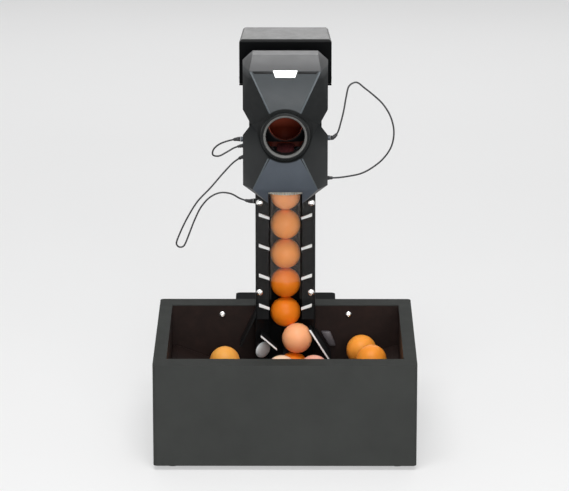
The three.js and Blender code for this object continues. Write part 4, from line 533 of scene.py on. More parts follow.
def dress(node, material, edge):
    """Gives a solid its material, rounded edges and smooth round faces, all by modifiers."""
    piece = nodes[node]
    piece.data.materials.clear()
    piece.data.materials.append(material)
    welded = piece.modifiers.new("welded", "NODES")
    welded.node_group = SMOOTH_FACES
    flat = piece.modifiers.new("flat", "DECIMATE")
    flat.decimate_type = "DISSOLVE"
    flat.angle_limit = FLAT_ANGLE
    bevel = piece.modifiers.new("edges", "BEVEL")
    bevel.width = edge * MM
    bevel.segments = 2
    bevel.limit_method = "ANGLE"
    bevel.angle_limit = EDGE_ANGLE
    bevel.harden_normals = True
    bevel.use_clamp_overlap = True


for (word, edge), names in KEPT.items():
    for node in names.split():
        dress(node, materials[word], edge)


def piece_of(name, mesh, body, word, stands_for=(), angle=EDGE_ANGLE):
    """Turns a bmesh in millimetres into a piece that rides on a body."""
    bmesh.ops.scale(mesh, vec=(MM, MM, MM), verts=mesh.verts)
    bmesh.ops.recalc_face_normals(mesh, faces=mesh.faces)
    data = bpy.data.meshes.new(name)
    mesh.to_mesh(data)
    mesh.free()
    data.polygons.foreach_set("use_smooth", [True] * len(data.polygons))
    data.set_sharp_from_angle(angle=angle)
    data.materials.append(materials[word] if isinstance(word, str) else word)
    made = linked(bpy.data.objects.new(name, data))
    if body is not None:
        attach(made, body)
    if stands_for:
        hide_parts(*stands_for)
    return made


def axes_at(origin, along):
    """A matrix that puts local +Z along a direction, at a point."""
    turn = Vector(along).normalized().to_track_quat("Z", "Y").to_matrix().to_4x4()
    return Matrix.Translation(Vector(origin)) @ turn


def lathe(mesh, profile, origin, along, sides=64):
    """Adds a closed (radius, height) profile turned round a line."""
    matrix = axes_at(origin, along)
    rings = []
    for radius, height in profile:
        if radius < 1e-6:
            rings.append([mesh.verts.new(matrix @ Vector((0, 0, height)))])
            continue
        ring = []
        for step in range(sides):
            angle = 2 * math.pi * step / sides
            point = Vector((radius * math.cos(angle), radius * math.sin(angle), height))
            ring.append(mesh.verts.new(matrix @ point))
        rings.append(ring)
    for here, there in zip(rings, rings[1:] + rings[:1]):
        if len(here) == 1 and len(there) == 1:
            continue
        for step in range(sides):
            after = (step + 1) % sides
            if len(here) == 1:
                mesh.faces.new((here[0], there[step], there[after]))
            elif len(there) == 1:
                mesh.faces.new((here[step], here[after], there[0]))
            else:
                mesh.faces.new((here[step], here[after], there[after], there[step]))
    return mesh


def soften(made, radius, segments):
    """Rounds every edge of a bmesh."""
    edges = made.edges[:]
    bmesh.ops.bevel(
        made, geom=edges, offset=radius, segments=segments, affect="EDGES", profile=0.5, clamp_overlap=True
    )


def rounded(mesh, low, high, radius, segments=3):
    """Adds a box with rounded edges."""
    made = bmesh.new()
    bmesh.ops.create_cube(made, size=1.0)
    size = Vector(high) - Vector(low)
    middle = (Vector(high) + Vector(low)) / 2
    for vert in made.verts:
        vert.co = Vector((vert.co.x * size.x, vert.co.y * size.y, vert.co.z * size.z)) + middle
    soften(made, radius, segments)
    return absorb(mesh, made)


def slab(mesh, corners, direction, radius=0.3):
    """Adds a plate: a flat outline pushed along a direction, with rounded edges."""
    made = bmesh.new()
    near = [made.verts.new(Vector(c)) for c in corners]
    far = [made.verts.new(Vector(c) + Vector(direction)) for c in corners]
    made.faces.new(near)
    made.faces.new(list(reversed(far)))
    count = len(corners)
    for step in range(count):
        after = (step + 1) % count
        made.faces.new((near[step], far[step], far[after], near[after]))
    bmesh.ops.recalc_face_normals(made, faces=made.faces)
    soften(made, radius, 2)
    return absorb(mesh, made)


def absorb(mesh, other):
    """Copies another bmesh into this one."""
    data = bpy.data.meshes.new("passing")
    other.to_mesh(data)
    other.free()
    mesh.from_mesh(data)
    bpy.data.meshes.remove(data)
    return mesh


def ring_of(mesh, centre, across, up, radius, sides):
    """Adds a ring of vertices round a point."""
    ring = []
    for step in range(sides):
        angle = 2 * math.pi * step / sides
        ring.append(mesh.verts.new(centre + (across * math.cos(angle) + up * math.sin(angle)) * radius))
    return ring


def join_rings(mesh, rings):
    """Adds the faces between neighbouring rings."""
    for here, there in zip(rings, rings[1:]):
        for step in range(len(here)):
            after = (step + 1) % len(here)
            mesh.faces.new((here[step], here[after], there[after], there[step]))


def swept(mesh, points, radii, sides=16):
    """Adds a closed round tube through points, with a radius at each."""
    points = [Vector(p) for p in points]
    tangents = []
    for index in range(len(points)):
        before = points[max(0, index - 1)]
        after = points[min(len(points) - 1, index + 1)]
        tangents.append((after - before).normalized())
    start = Vector((0, 0, 1)) if abs(tangents[0].z) < 0.9 else Vector((1, 0, 0))
    side = tangents[0].cross(start).normalized()
    rings = []
    for point, tangent, radius in zip(points, tangents, radii):
        side = (side - tangent * side.dot(tangent)).normalized()
        up = tangent.cross(side)
        rings.append(ring_of(mesh, point, side, up, radius, sides))
    join_rings(mesh, rings)
    mesh.faces.new(list(reversed(rings[0])))
    mesh.faces.new(rings[-1])
    return mesh


# Each cable: the bodies at its end and its start, its route from start to end, and the stretch that bends
CABLES = {
    "head_cable_right": (
        "pan_stage", "tilt_head",
        [
            (58.3, 30, 386), (61.5, 30, 386), (67.5, 33, 391.5), (72, 39, 404), (76, 43, 420),
            (79, 46, 437), (83, 48, 451), (92, 50, 455), (103, 51, 447), (115, 52, 437), (127, 53, 425),
            (137, 54, 408), (141.5, 55, 388), (138.5, 56, 368), (128, 57, 351), (113, 58, 338),
            (99, 60, 330), (84, 62, 326), (68, 63.8, 323.3), (57, 64, 323), (52.1, 64, 323),
        ],
        ((52.1, 64, 340), (58.3, 30, 384)),
    ),
    "head_cable_left": (
        "pan_stage", "tilt_head",
        [
            (-58.3, 30, 384), (-62, 30, 384), (-73, 34, 381), (-86, 42, 374), (-94, 50, 364.5),
            (-94.5, 57, 355.5), (-87, 62, 353), (-76, 65, 358), (-66, 66, 363.5), (-56, 66, 366),
            (-52.1, 66, 366),
        ],
        ((-60, 65, 360), (-60, 32, 380)),
    ),
    "pan_cable": (
        "root", "pan_stage",
        [
            (-52.1, 84, 346), (-56.5, 84, 346), (-67, 83, 340), (-80, 81, 327), (-99, 79, 305),
            (-116, 77, 287), (-130, 76, 264), (-139, 75.5, 245), (-143.8, 76, 232.3),
            (-144.1, 76.4, 229.3), (-142.9, 76.7, 226.6), (-140.5, 77.1, 224.8), (-137.5, 77.5, 224.5),
            (-134.8, 77.8, 225.7), (-133, 78.2, 228.1), (-127, 79, 243), (-120, 80, 261),
            (-111, 81, 279), (-99, 82, 292), (-86, 83, 297.5), (-72, 83.7, 296), (-59, 84, 289),
            (-48, 84, 286), (-42.8, 84, 286),
        ],
        ((-90, 80, 299), (-60, 84, 346)),
    ),
}
STEPS_BETWEEN = 6
BOOT_LENGTH = 11.0
BOOT_START = 3.2
BOOT_RADIUS = 3.0
BOOT_TAPER = 1.5
BOOT_RIB = 0.35


def between(p0, p1, p2, p3, share):
    """A centripetal Catmull-Rom point between p1 and p2."""
    gaps = [max((b - a).length ** 0.5, 1e-4) for a, b in ((p0, p1), (p1, p2), (p2, p3))]
    t1 = ((p1 - p0) / gaps[0] - (p2 - p0) / (gaps[0] + gaps[1]) + (p2 - p1) / gaps[1]) * gaps[1]
    t2 = ((p2 - p1) / gaps[1] - (p3 - p1) / (gaps[1] + gaps[2]) + (p3 - p2) / gaps[2]) * gaps[1]
    c2 = (p2 - p1) * 3 - t1 * 2 - t2
    c3 = (p1 - p2) * 2 + t1 + t2
    return p1 + t1 * share + c2 * share**2 + c3 * share**3


def smooth_route(points):
    """The smooth curve through a route's points."""
    points = [Vector(p) for p in points]
    ends = [points[0] * 2 - points[1], *points, points[-1] * 2 - points[-2]]
    route = []
    for index in range(1, len(ends) - 2):
        for step in range(STEPS_BETWEEN):
            route.append(between(*ends[index - 1 : index + 3], step / STEPS_BETWEEN))
    route.append(points[-1])
    return route


def boot(mesh, route):
    """A ribbed strain relief over the first stretch of a route."""
    taken = [route[0]]
    radii = [BOOT_START]
    run = 0.0
    for before, after in zip(route, route[1:]):
        run += (after - before).length
        if run > BOOT_LENGTH:
            break
        taken.append(after)
        rib = BOOT_RIB if len(taken) % 2 else 0.0
        radii.append(BOOT_RADIUS - BOOT_TAPER * run / BOOT_LENGTH + rib)
    return swept(mesh, taken, radii, 20)


for name, (end_body, start_body, points, (still, free)) in CABLES.items():
    route = smooth_route(points)
    tube = swept(bmesh.new(), route, [CABLE_RADIUS] * len(route), 16)
    cable = piece_of(name + "_lead", tube, None, "cable", (name,), math.radians(60))
    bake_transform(cable)
    piece_of(name + "_boot_a", boot(bmesh.new(), route), start_body, "cable")
    piece_of(name + "_boot_b", boot(bmesh.new(), route[::-1]), end_body, "cable")


# Balls whose tone differs from the others'. The paler tones of next_ball, tray_ball_middle and
# tray_ball_near are painted highlights, and those of column_ball_1 to 3 paint extra light onto them under
# the cover
BALL_TONES_AND_HIGHLIGHTS = {
    "column_ball_1": (1.0, 0.40, 0.15),
    "column_ball_2": (1.0, 0.36, 0.085),
    "column_ball_3": (1.0, 0.35, 0.075),
    "next_ball": (0.98, 0.445, 0.215),
    "tray_ball_middle": (0.97, 0.68, 0.48),
    "tray_ball_near": (0.93, 0.45, 0.33),
    "tray_ball_left": (0.90, 0.40, 0.07),
    "tray_ball_right": (0.94, 0.34, 0.04),
    "tray_ball_far_right": (0.93, 0.31, 0.03),
}


BALL_RINGS = 40
SEAM_DEPTH = 0.05
SEAM_WIDTH = 0.45


def ball_mesh(centre, turn):
    """A ball of two shells with a fine welded seam round its middle."""
    profile = [(0.0, -BALL_RADIUS)]
    for step in range(1, BALL_RINGS):
        angle = math.pi * step / BALL_RINGS - math.pi / 2
        seam = SEAM_DEPTH * math.exp(-((angle * BALL_RADIUS / SEAM_WIDTH) ** 2))
        radius = BALL_RADIUS - seam
        profile.append((radius * math.cos(angle), radius * math.sin(angle)))
    profile.append((0.0, BALL_RADIUS))
    made = bmesh.new()
    lathe(made, profile, (0, 0, 0), (0, 0, 1), 72)
    bmesh.ops.transform(made, matrix=Matrix.Translation(centre) @ turn, verts=made.verts)
    return made


rolls = random.Random(7)
for node in sorted(nodes):
    if "_ball" not in node:
        continue
    low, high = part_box(node)
    pitch = Matrix.Rotation(rolls.uniform(0, math.pi), 4, "X")
    turn = pitch @ Matrix.Rotation(rolls.uniform(0, math.pi), 4, "Y")
    skin = ball_plastic(node + "_skin", BALL_TONES_AND_HIGHLIGHTS.get(node, ORANGE))
    piece_of(node + "_skin", ball_mesh((low + high) / 2 / MM, turn), "root", skin, (node,))


SCREW_RADIUS = 4.4
SCREW_HEIGHT = 2.4
SHANK_RADIUS = 1.5
DOME_STEPS = 8


def pan_head(origin, along, radius, height, shank):
    """A domed screw head; along points out of it, and its shank goes the other way."""
    made = bmesh.new()
    profile = [(0.0, 0.0)]
    if shank:
        tip = [(0.0, -shank), (SHANK_RADIUS - 0.4, -shank)]
        profile = [*tip, (SHANK_RADIUS, -shank + 0.5), (SHANK_RADIUS, 0.0)]
    profile += [(radius - 0.2, 0.0), (radius, 0.25)]
    for step in range(DOME_STEPS + 1):
        angle = (step / DOME_STEPS) * math.pi / 2
        profile.append((radius * math.cos(angle), 0.3 + (height - 0.3) * math.sin(angle)))
    profile[-1] = (0.0, height)
    lathe(made, profile, origin, along, 32)
    return made


def cross_recess(made_object, origin, along, size, height):
    """Cuts a cross into a screw's head, half as deep as the head is high."""
    cutter = bmesh.new()
    half_slot, corner = 0.42, 0.12
    deep = height - height * 0.5
    rounded(cutter, (-size, -half_slot, deep), (size, half_slot, height + 1), corner, 1)
    rounded(cutter, (-half_slot, -size, deep), (half_slot, size, height + 1), corner, 1)
    bmesh.ops.transform(cutter, matrix=axes_at(origin, along), verts=cutter.verts)
    bmesh.ops.scale(cutter, vec=(MM, MM, MM), verts=cutter.verts)
    data = bpy.data.meshes.new("cutter")
    cutter.to_mesh(data)
    cutter.free()
    tool = linked(bpy.data.objects.new("cutter", data))
    cut = made_object.modifiers.new("cross", "BOOLEAN")
    cut.object = tool
    cut.operation = "DIFFERENCE"
    cut.use_self = True
    graph = bpy.context.evaluated_depsgraph_get()
    result = bpy.data.meshes.new_from_object(made_object.evaluated_get(graph))
    made_object.modifiers.clear()
    made_object.data = result
    made_object.data.set_sharp_from_angle(angle=EDGE_ANGLE)
    bpy.data.objects.remove(tool)
    bpy.data.meshes.remove(data)


def add_screw(name, origin, along, body, word="zinc", slot="steel", stands_for=(),
              radius=SCREW_RADIUS, height=SCREW_HEIGHT, shank=0.0):
    head = pan_head(origin, along, radius, height, shank)
    made = piece_of(name, head, body, word, stands_for)
    cross_recess(made, origin, along, radius * 0.5, height)


for node in [n for n in nodes if "screw" in n]:
    low, high = (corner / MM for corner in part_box(node))
    head_back = low.y + SCREW_HEIGHT
    origin = ((low.x + high.x) / 2, head_back, (low.z + high.z) / 2)
    add_screw(node + "_head", origin, (0, -1, 0), "root", stands_for=(node,), shank=high.y - head_back)


RING_SEAT = -26.3


def exit_ring():
    profile = [
        (31.5, 0.0), (31.5, 2.3), (31.2, 3.0), (30.4, 3.5), (29.2, 3.7), (27.4, 3.7), (26.2, 3.4),
        (25.4, 2.8), (25.0, 1.9), (25.0, 0.0),
    ]
    origin = (TILT_AXIS[0], RING_SEAT, TILT_AXIS[2])
    mesh = lathe(bmesh.new(), profile, origin, (0, -1, 0), 112)
    piece_of("exit_ring_rim", mesh, "tilt_head", "ring", ("exit_ring",))


TYRE_RADIUS = 26.5
TYRE_INNER_RADIUS = 21.5
TYRE_HALF_WIDTH = 11.0
TYRE_GROOVES = 9
GROOVE_DEPTH = 0.45
GROOVE_HALF_WIDTH = 0.3
LAND_HALF_WIDTH = 0.75
SHOULDER = 1.8


def wheel_tyre(word, centre):
    """A soft tread with fine grooves ground into it."""
    outer, inner, half = TYRE_RADIUS, TYRE_INNER_RADIUS, TYRE_HALF_WIDTH
    profile = [(inner, -half), (outer - 1.2, -half), (outer - 0.5, -half + 1.4)]
    span = 2 * (half - SHOULDER)
    for index in range(TYRE_GROOVES):
        at = -half + SHOULDER + span * (index + 0.5) / TYRE_GROOVES
        profile += [(outer, at - LAND_HALF_WIDTH), (outer, at - GROOVE_HALF_WIDTH)]
        profile.append((outer - GROOVE_DEPTH, at))
        profile += [(outer, at + GROOVE_HALF_WIDTH), (outer, at + LAND_HALF_WIDTH)]
    profile += [(outer - 0.5, half - 1.4), (outer - 1.2, half), (inner, half)]
    mesh = lathe(bmesh.new(), profile, centre, (1, 0, 0), 96)
    name = f"{word}_wheel_tread"
    piece_of(name, mesh, f"{word}_wheel", "tyre", (f"{word}_wheel_tyre",), math.radians(50))


BORE_DEPTH = 5.5


def motor(node, body, origin, along, radius, length, bore, terminals=True):
    """A small motor: rolled can, pressed front boss, end cap with tabs. Origin is the shaft end's face."""
    profile = [
        (bore, BORE_DEPTH), (bore, 0.4), (bore + 0.3, 0.1), (radius * 0.42, 0.1), (radius * 0.42, 0.0),
        (radius * 0.46, 0.0), (radius * 0.48, 0.5), (radius - 1.3, 0.5), (radius - 0.3, 1.0),
        (radius, 2.0), (radius, length - 4.4), (radius - 0.35, length - 4.2),
        (radius - 0.35, length - 3.7), (radius - 0.2, length - 3.4), (radius - 0.2, length - 0.6),
        (radius - 0.9, length), (0.0, length), (0.0, BORE_DEPTH),
    ]
    mesh = lathe(bmesh.new(), profile, origin, along, 72)
    piece_of(node + "_can", mesh, body, "can", (node,))
    extra = bmesh.new()
    if terminals:
        for side in (-1, 1):
            low = (side * radius * 0.55 - 0.25, -1.2, length - 0.4)
            high = (side * radius * 0.55 + 0.25, 1.2, length)
            rounded(extra, low, high, 0.1, 1)
    wide, narrow, back = radius * 0.3, radius * 0.22, length - 0.3
    lathe(extra, [(wide, back), (wide, length), (narrow, length), (narrow, back)], (0, 0, 0), (0, 0, 1), 32)
    bmesh.ops.transform(extra, matrix=axes_at(origin, along), verts=extra.verts)
    piece_of(node + "_end", extra, body, "brass")


WHEEL_Y = 10.0
WHEEL_OFFSET = 45.5
WHEEL_MOTOR_FACE = 15.1

exit_ring()
for word, side in (("upper", 1), ("lower", -1)):
    height = TILT_AXIS[2] + side * WHEEL_OFFSET
    wheel_tyre(word, (0, WHEEL_Y, height))
    face = (side * WHEEL_MOTOR_FACE, WHEEL_Y, height)
    motor(f"{word}_wheel_motor", "tilt_head", face, (side, 0, 0), 15.0, 21.0, 2.4)

motor("pan_gearmotor", "pan_stage", (0, 111.2, STAGE_TOP), (0, 0, 1), 11.0, 28.0, 1.8)
motor("tilt_gearmotor", "pan_stage", (37, 74.3, 378), (0, 0, -1), 6.0, 30.0, 1.8, False)


def feed_motor():
    """The feed wheel's gear motor: a wide gearbox with a flange line, then the motor's can."""
    profile = [
        (3.3, 6.0), (3.3, 0.0), (13.2, 0.0), (14.0, 0.8), (14.0, 4.2), (13.7, 4.5), (13.7, 4.9),
        (14.0, 5.2), (14.0, 8.2), (13.2, 9.0), (12.5, 9.0), (12.5, 21.5), (11.6, 22.5), (0.0, 22.5),
        (0.0, 6.0),
    ]
    mesh = lathe(bmesh.new(), profile, (40.8, 116, 84), (1, 0, 0), 72)
    piece_of("feed_gearmotor_can", mesh, "root", "can", ("feed_gearmotor",))


feed_motor()


ELBOW_BEND = 30.0
ELBOW_STEPS = 24
ELBOW_RADIUS = 24.0
ELBOW_BORE_RADIUS = 21.5
ELBOW_TIP = 40.0
FLANGE_BACK = CHANNEL_Y + 24.6
COLLAR_BACK = 42.2
COLLAR_HALF_WIDTH = 28.8
COLLAR_HALF_HEIGHT = 23.9


def elbow_route():
    """The middle line of the elbow, from its foot to its mouth."""
    rise = TILT_AXIS[2]
    points = [Vector((0, CHANNEL_Y, STAGE_TOP))]
    for step in range(ELBOW_STEPS + 1):
        angle = (step / ELBOW_STEPS) * math.pi / 2
        back = CHANNEL_Y - ELBOW_BEND + ELBOW_BEND * math.cos(angle)
        points.append(Vector((0, back, rise - ELBOW_BEND + ELBOW_BEND * math.sin(angle))))
    points.append(Vector((0, ELBOW_TIP, rise)))
    return points


def feed_elbow():
    """The bent tube that turns the balls forward: an open pipe with a flange and a collar."""
    sides = 56
    route = elbow_route()
    made = bmesh.new()
    rings = {}
    for word, radius in (("outer", ELBOW_RADIUS), ("inner", ELBOW_BORE_RADIUS)):
        rings[word] = []
        for index, point in enumerate(route):
            before = route[max(0, index - 1)]
            after = route[min(len(route) - 1, index + 1)]
            tangent = (after - before).normalized()
            across = Vector((1, 0, 0))
            rings[word].append(ring_of(made, point, across, tangent.cross(across), radius, sides))
        join_rings(made, rings[word])
    for index in (0, -1):
        join_rings(made, [rings["outer"][index], rings["inner"][index]])
    profile = [(24.0, 0.0), (28.4, 0.0), (29.0, 0.5), (29.0, 2.5), (28.4, 3.0), (24.9, 3.0), (24.0, 4.2)]
    flange = lathe(bmesh.new(), profile, (0, CHANNEL_Y, STAGE_TOP), (0, 0, 1), 72)
    for vert in flange.verts:
        vert.co.y = min(FLANGE_BACK, vert.co.y)
    absorb(made, flange)
    piece_of("feed_elbow_pipe", made, "pan_stage", "tube", ("feed_elbow",))

    collar = [(23.6, 0.0), (32.2, 0.0), (32.8, 0.5), (32.8, 1.6), (32.2, 2.1), (23.6, 2.1)]
    made = lathe(bmesh.new(), collar, (0, COLLAR_BACK, TILT_AXIS[2]), (0, -1, 0), 80)
    lowest = TILT_AXIS[2] - COLLAR_HALF_HEIGHT
    highest = TILT_AXIS[2] + COLLAR_HALF_HEIGHT
    for vert in made.verts:
        vert.co.x = max(-COLLAR_HALF_WIDTH, min(COLLAR_HALF_WIDTH, vert.co.x))
        vert.co.z = max(lowest, min(highest, vert.co.z))
    piece_of("feed_elbow_collar", made, "pan_stage", "matt")


feed_elbow()


RIB_HEIGHTS = (270, 228, 187)
THROAT_RIB_HEIGHT = 145
RIB_THICKNESS = 3.1
STRIP_THICKNESS = 1.2
PAD_PLACE = (-30.3, 69.9, 84.5)
PAD_FACING = (0.752, -0.659, 0)
PAD_ALONG = (0.659, 0.752, 0)
PAD_STRETCH = 1.28


def rib(mesh, side, height, face):
    """Adds a slanted white rib whose outer end is the higher one."""
    inner, outer, rise, thick = 20.8, 35.0, 5.0, 4.4
    corners = [
        (side * inner, face, height - thick * 0.4),
        (side * outer, face, height + rise - thick / 2),
        (side * outer, face, height + rise + thick / 2),
        (side * inner, face, height + thick * 0.4),
    ]
    return slab(mesh, corners, (0, -RIB_THICKNESS, 0), 0.5)


def edge_strip(name, corners, out, word="white", body="root"):
    """A thin strip along an edge of the piece behind it; such strips paint highlights and shadows along
    edges.
    """
    piece_of(name, slab(bmesh.new(), corners, out), body, word)


def trim():
    """The white ribs of cover and throat, white strips painting highlights on the edges of fin and guide,
    and the two pads.
    """
    cover = bmesh.new()
    for height in RIB_HEIGHTS:
        for side in (-1, 1):
            rib(cover, side, height, COVER_FRONT)
    piece_of("cover_ribs", cover, "root", "white")
    throat = bmesh.new()
    for side in (-1, 1):
        rib(throat, side, THROAT_RIB_HEIGHT, COLUMN_FRONT)
    piece_of("throat_ribs", throat, "root", "white")

    # White strips: painted highlights along the front edges of fin and guide
    front = GUIDE_FRONT
    fin = [(-32.4, front, 112.6), (-32.4, front, 109.8), (-11.1, front, 91.3), (-11.1, front, 94.1)]
    edge_strip("fin_edge_highlight", fin, (0, -STRIP_THICKNESS, 0))
    guide = [(30.9, front, 119.9), (33.6, front, 119.9), (60.4, front, 76.6), (57.8, front, 76.6)]
    edge_strip("guide_edge_highlight", guide, (0, -STRIP_THICKNESS, 0))

    dome = [(0.0, -0.8), (10.2, -0.8), (10.6, 0.0), (10.2, 1.8), (8.6, 3.2), (5.5, 4.0), (0.0, 4.3)]
    pad = lathe(bmesh.new(), dome, (0, 0, 0), PAD_FACING, 48)
    stretch = Matrix.Scale(PAD_STRETCH, 4, Vector(PAD_ALONG))
    bmesh.ops.transform(pad, matrix=Matrix.Translation(PAD_PLACE) @ stretch, verts=pad.verts)
    piece_of("guide_pad_left", pad, "root", "pad")
    pad = slab(bmesh.new(), [(46.5, 92, 105), (60, 92, 105), (68, 92, 84), (58.5, 92, 84)], (0, -6, 0), 2.6)
    piece_of("guide_pad_right", pad, "root", "charcoal")


trim()


SLAT_HEIGHT = 1.6
SLAT_REACH = 1.1
SLAT_DROP = 0.6


def louvres(mesh, middle, count, pitch, width, out):
    """Short sloping slats over a vent, stacked about the middle point, standing out along out."""
    out = Vector(out)
    across = out.cross(Vector((0, 0, 1)))
    for index in range(count):
        height = (index - (count - 1) / 2) * pitch
        centre = Vector(middle) + Vector((0, 0, height))
        low, high = centre - across * width / 2, centre + across * width / 2
        rise = Vector((0, 0, SLAT_HEIGHT))
        slab(mesh, [low, high, high + rise, low + rise], out * SLAT_REACH + Vector((0, 0, -SLAT_DROP)), 0.25)
    return mesh


SIDES = (("left", -1), ("right", 1))
HOOD_BACK = 134.6
HOOD_FRONT = 57
HOOD_DEPTH = 78
HOOD_HALF_WIDTH = 60
HOOD_TAPER = 4
HOOD_SIDE_LEAN = 0.051
HOOD_SCREW_HEIGHT = 456.5
HOUSING_SCREW_X = 60
BACK_SCREW_PLACE = (84, 124.1, 127)
HEAD_SCREW_X = 44
HEAD_BACK = 42.3


def hood_details():
    hood = bmesh.new()
    louvres(hood, (0, HOOD_BACK, 478), 6, 5.2, 58, (0, 1, 0))
    piece_of("hood_louvres", hood, "tilt_head", "hood")
    for word, side in SIDES:
        for place, y in (("front", 70), ("rear", 122)):
            x = side * (HOOD_HALF_WIDTH - (y - HOOD_FRONT) / HOOD_DEPTH * HOOD_TAPER)
            origin, out = (x, y, HOOD_SCREW_HEIGHT), (side, HOOD_SIDE_LEAN, 0)
            looks = ("tilt_head", "black", "black_plastic")
            add_screw(f"hood_screw_{place}_{word}", origin, out, *looks, radius=2.4, height=1.0)


def housing_details():
    housing = bmesh.new()
    louvres(housing, (-28, HOUSING_BACK - 0.3, 92), 7, 5.6, 46, (0, 1, 0))
    piece_of("housing_louvres", housing, "root", "black")
    for place, height in (("lower", 27), ("upper", 127)):
        for word, side in SIDES:
            origin = (side * HOUSING_SCREW_X, HOUSING_BACK - 0.2, height)
            add_screw(f"housing_screw_{place}_{word}", origin, (0, 1, 0), "root", radius=2.8, height=0.9)
    x, y, height = BACK_SCREW_PLACE
    for word, side in SIDES:
        add_screw(f"back_screw_{word}", (side * x, y, height), (0, 1, 0), "root", radius=3.4, height=1.8)


def head_details():
    for place, height in (("upper", 80), ("middle", 36), ("lower", -34)):
        for word, side in SIDES:
            origin = (side * HEAD_SCREW_X, HEAD_BACK, TILT_AXIS[2] + height)
            add_screw(f"head_screw_{place}_{word}", origin, (0, 1, 0), "tilt_head", radius=2.6, height=1.1)


def rocker_marks():
    """A plain line for on and a plain ring for off."""
    marks = bmesh.new()
    rounded(marks, (51.7, 168.35, 45.6), (52.3, 168.75, 48.6), 0.12, 1)
    ring = [(1.6, 0.0), (1.6, 0.4), (1.1, 0.4), (1.1, 0.0)]
    lathe(marks, ring, (52, 169.0, 37.6), (0, 1, 0), 32)
    piece_of("rocker_marks", marks, "rocker", "white")


hood_details()
housing_details()
head_details()
rocker_marks()


def panel_point(x, z, lift):
    """A point on the head's upper panel, lifted off it."""
    y = UPPER_PANEL_TOP[0] + (UPPER_PANEL_TOP[1] - z) * UPPER_PANEL_LEAN
    return (x, y - lift, z)


def lower_panel_point(x, z):
    """A point just behind the face of the head's lower panel."""
    y = LOWER_PANEL_TOP[0] + (LOWER_PANEL_TOP[1] - z) * LOWER_PANEL_LEAN
    return (x, y, z)


def head_trim():
    """The status light's window, black strips beside it painting the shadow under the brow, and paler strips
    painting highlights on the edges of both front panels.
    """
    top, foot = 486.6, 477.7
    window = [(-15.8, top), (15.8, top), (12.6, foot), (-12.6, foot)]
    corners = [panel_point(x, z, -0.4) for x, z in window]
    mesh = slab(bmesh.new(), corners, (0, -2.3, 0), 0.35)
    piece_of("status_window_lens", mesh, "tilt_head", "window", ("status_window",))
    for word, side in SIDES:
        # Black strips: painted shadow under the brow beside the window
        shadow_strip = [(17.2, 485.4), (42.6, 485.4), (39.6, 482.2), (15.6, 482.2)]
        corners = [panel_point(side * x, z, -0.2) for x, z in shadow_strip]
        edge_strip(f"brow_painted_shadow_{word}", corners, (0, -0.5, 0), "black", "tilt_head")
        # Pale strips: painted highlights along the edges of both front panels
        side_line = [(45.6, 484.6), (43.2, 484.6), (18.8, 432.3), (21.0, 432.3)]
        corners = [panel_point(side * x, z, -0.2) for x, z in side_line]
        edge_strip(f"panel_edge_{word}", corners, (0, -0.55, 0), "edge", "tilt_head")
        low_line = [(20.7, 372.6), (22.7, 372.6), (41.8, 331), (40.0, 331)]
        corners = [lower_panel_point(side * x, z) for x, z in low_line]
        name = f"lower_panel_edge_{word}"
        edge_strip(name, corners, (0, -0.5, 0), "edge", "tilt_head")


head_trim()


def seen_of(tree):
    """One for rays that come from the camera, a reflection or a clear piece, and none for the others."""
    path = tree.nodes.new("ShaderNodeLightPath")
    seen = math_of(tree, "ADD", path.outputs["Is Camera Ray"], path.outputs["Is Glossy Ray"])
    seen = math_of(tree, "ADD", seen, path.outputs["Is Transmission Ray"])
    return math_of(tree, "MINIMUM", seen, 1.0)


FLOOR_HALF_SIZE = 9.0


def stage_floor():
    """A pale floor, which holds the robot's shadow."""
    material, tree, shader, place = new_material("stage_pale")
    cloud = noise_of(tree, place, 1.5, 2.0)
    tone = ramp_of(tree, cloud, 0.3, 0.7, (0.80, 0.80, 0.80), (0.83, 0.83, 0.83))
    wire(tree, tone, shader, "Base Color")
    settle(shader, {"Roughness": 0.75})
    glow = tree.nodes.new("ShaderNodeEmission")
    settle(glow, {"Color": (0.93, 0.93, 0.93, 1)})
    mix = tree.nodes.new("ShaderNodeMixShader")
    share = math_of(tree, "MULTIPLY", seen_of(tree), 0.5)
    wire(tree, share, mix, "Fac")
    wire(tree, shader.outputs["BSDF"], mix, 1)
    wire(tree, glow.outputs["Emission"], mix, 2)
    wire(tree, mix.outputs["Shader"], tree.nodes["Material Output"], "Surface")
    mesh = bmesh.new()
    bmesh.ops.create_grid(mesh, x_segments=2, y_segments=2, size=FLOOR_HALF_SIZE)
    data = bpy.data.meshes.new("floor")
    mesh.to_mesh(data)
    mesh.free()
    data.materials.append(material)
    linked(bpy.data.objects.new("floor", data))


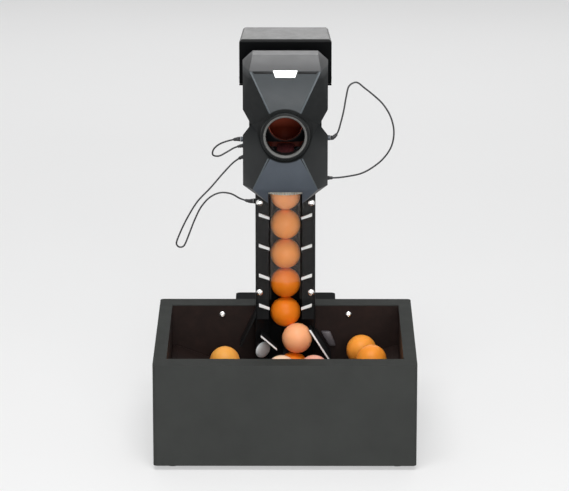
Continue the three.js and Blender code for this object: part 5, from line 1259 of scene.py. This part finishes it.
def aimed(name, data, place, target):
    """A lamp or camera at a place, turned to a target."""
    made = bpy.data.objects.new(name, data)
    made.location = place
    made.rotation_mode = "QUATERNION"
    made.rotation_quaternion = (Vector(target) - Vector(place)).to_track_quat("-Z", "Y")
    return linked(made)


def lamp(name, place, target, size, power):
    data = bpy.data.lights.new(name, "AREA")
    data.shape = "RECTANGLE"
    data.size, data.size_y = size
    data.energy = power
    aimed(name, data, place, target)


def world_light():
    """A soft, weak light from all round, and a paler backdrop for the rays that show it."""
    world = bpy.data.worlds.new("studio")
    bpy.context.scene.world = world
    world.use_nodes = True
    tree = world.node_tree
    tree.nodes.clear()
    lit = tree.nodes.new("ShaderNodeBackground")
    settle(lit, {"Color": (0.97, 0.98, 1.0, 1), "Strength": 0.2})
    shown = tree.nodes.new("ShaderNodeBackground")
    settle(shown, {"Color": (0.9, 0.9, 0.9, 1), "Strength": 0.9})
    mix = tree.nodes.new("ShaderNodeMixShader")
    out = tree.nodes.new("ShaderNodeOutputWorld")
    wire(tree, seen_of(tree), mix, "Fac")
    wire(tree, lit.outputs["Background"], mix, 1)
    wire(tree, shown.outputs["Background"], mix, 2)
    wire(tree, mix.outputs["Shader"], out, "Surface")


def camera():
    data = bpy.data.cameras.new("camera")
    data.lens = CAMERA_LENS
    data.clip_start, data.clip_end = 0.1, 60
    bpy.context.scene.camera = aimed("camera", data, CAMERA_PLACE, CAMERA_TARGET)


# Each lamp: where it stands, what it points at, its size in metres and its power in watts
LAMPS = (
    ("brow_light", (-0.1, -0.95, 2.1), (0, 0, 0.45), (1.3, 0.8), 30),
    ("front_fill", (0.35, -3.0, 1.05), (0, 0, 0.35), (1.5, 1.1), 44),
    ("overhead", (0, 0.7, 3.1), (0, 0.3, 0), (3.4, 3.4), 26),
    ("back_panel", (0, 2.5, 1.2), (0, 0.1, 0.45), (2.6, 1.2), 12),
)

stage_floor()
for row in LAMPS:
    lamp(*row)
world_light()
camera()
bpy.context.scene.view_settings.view_transform = "Standard"
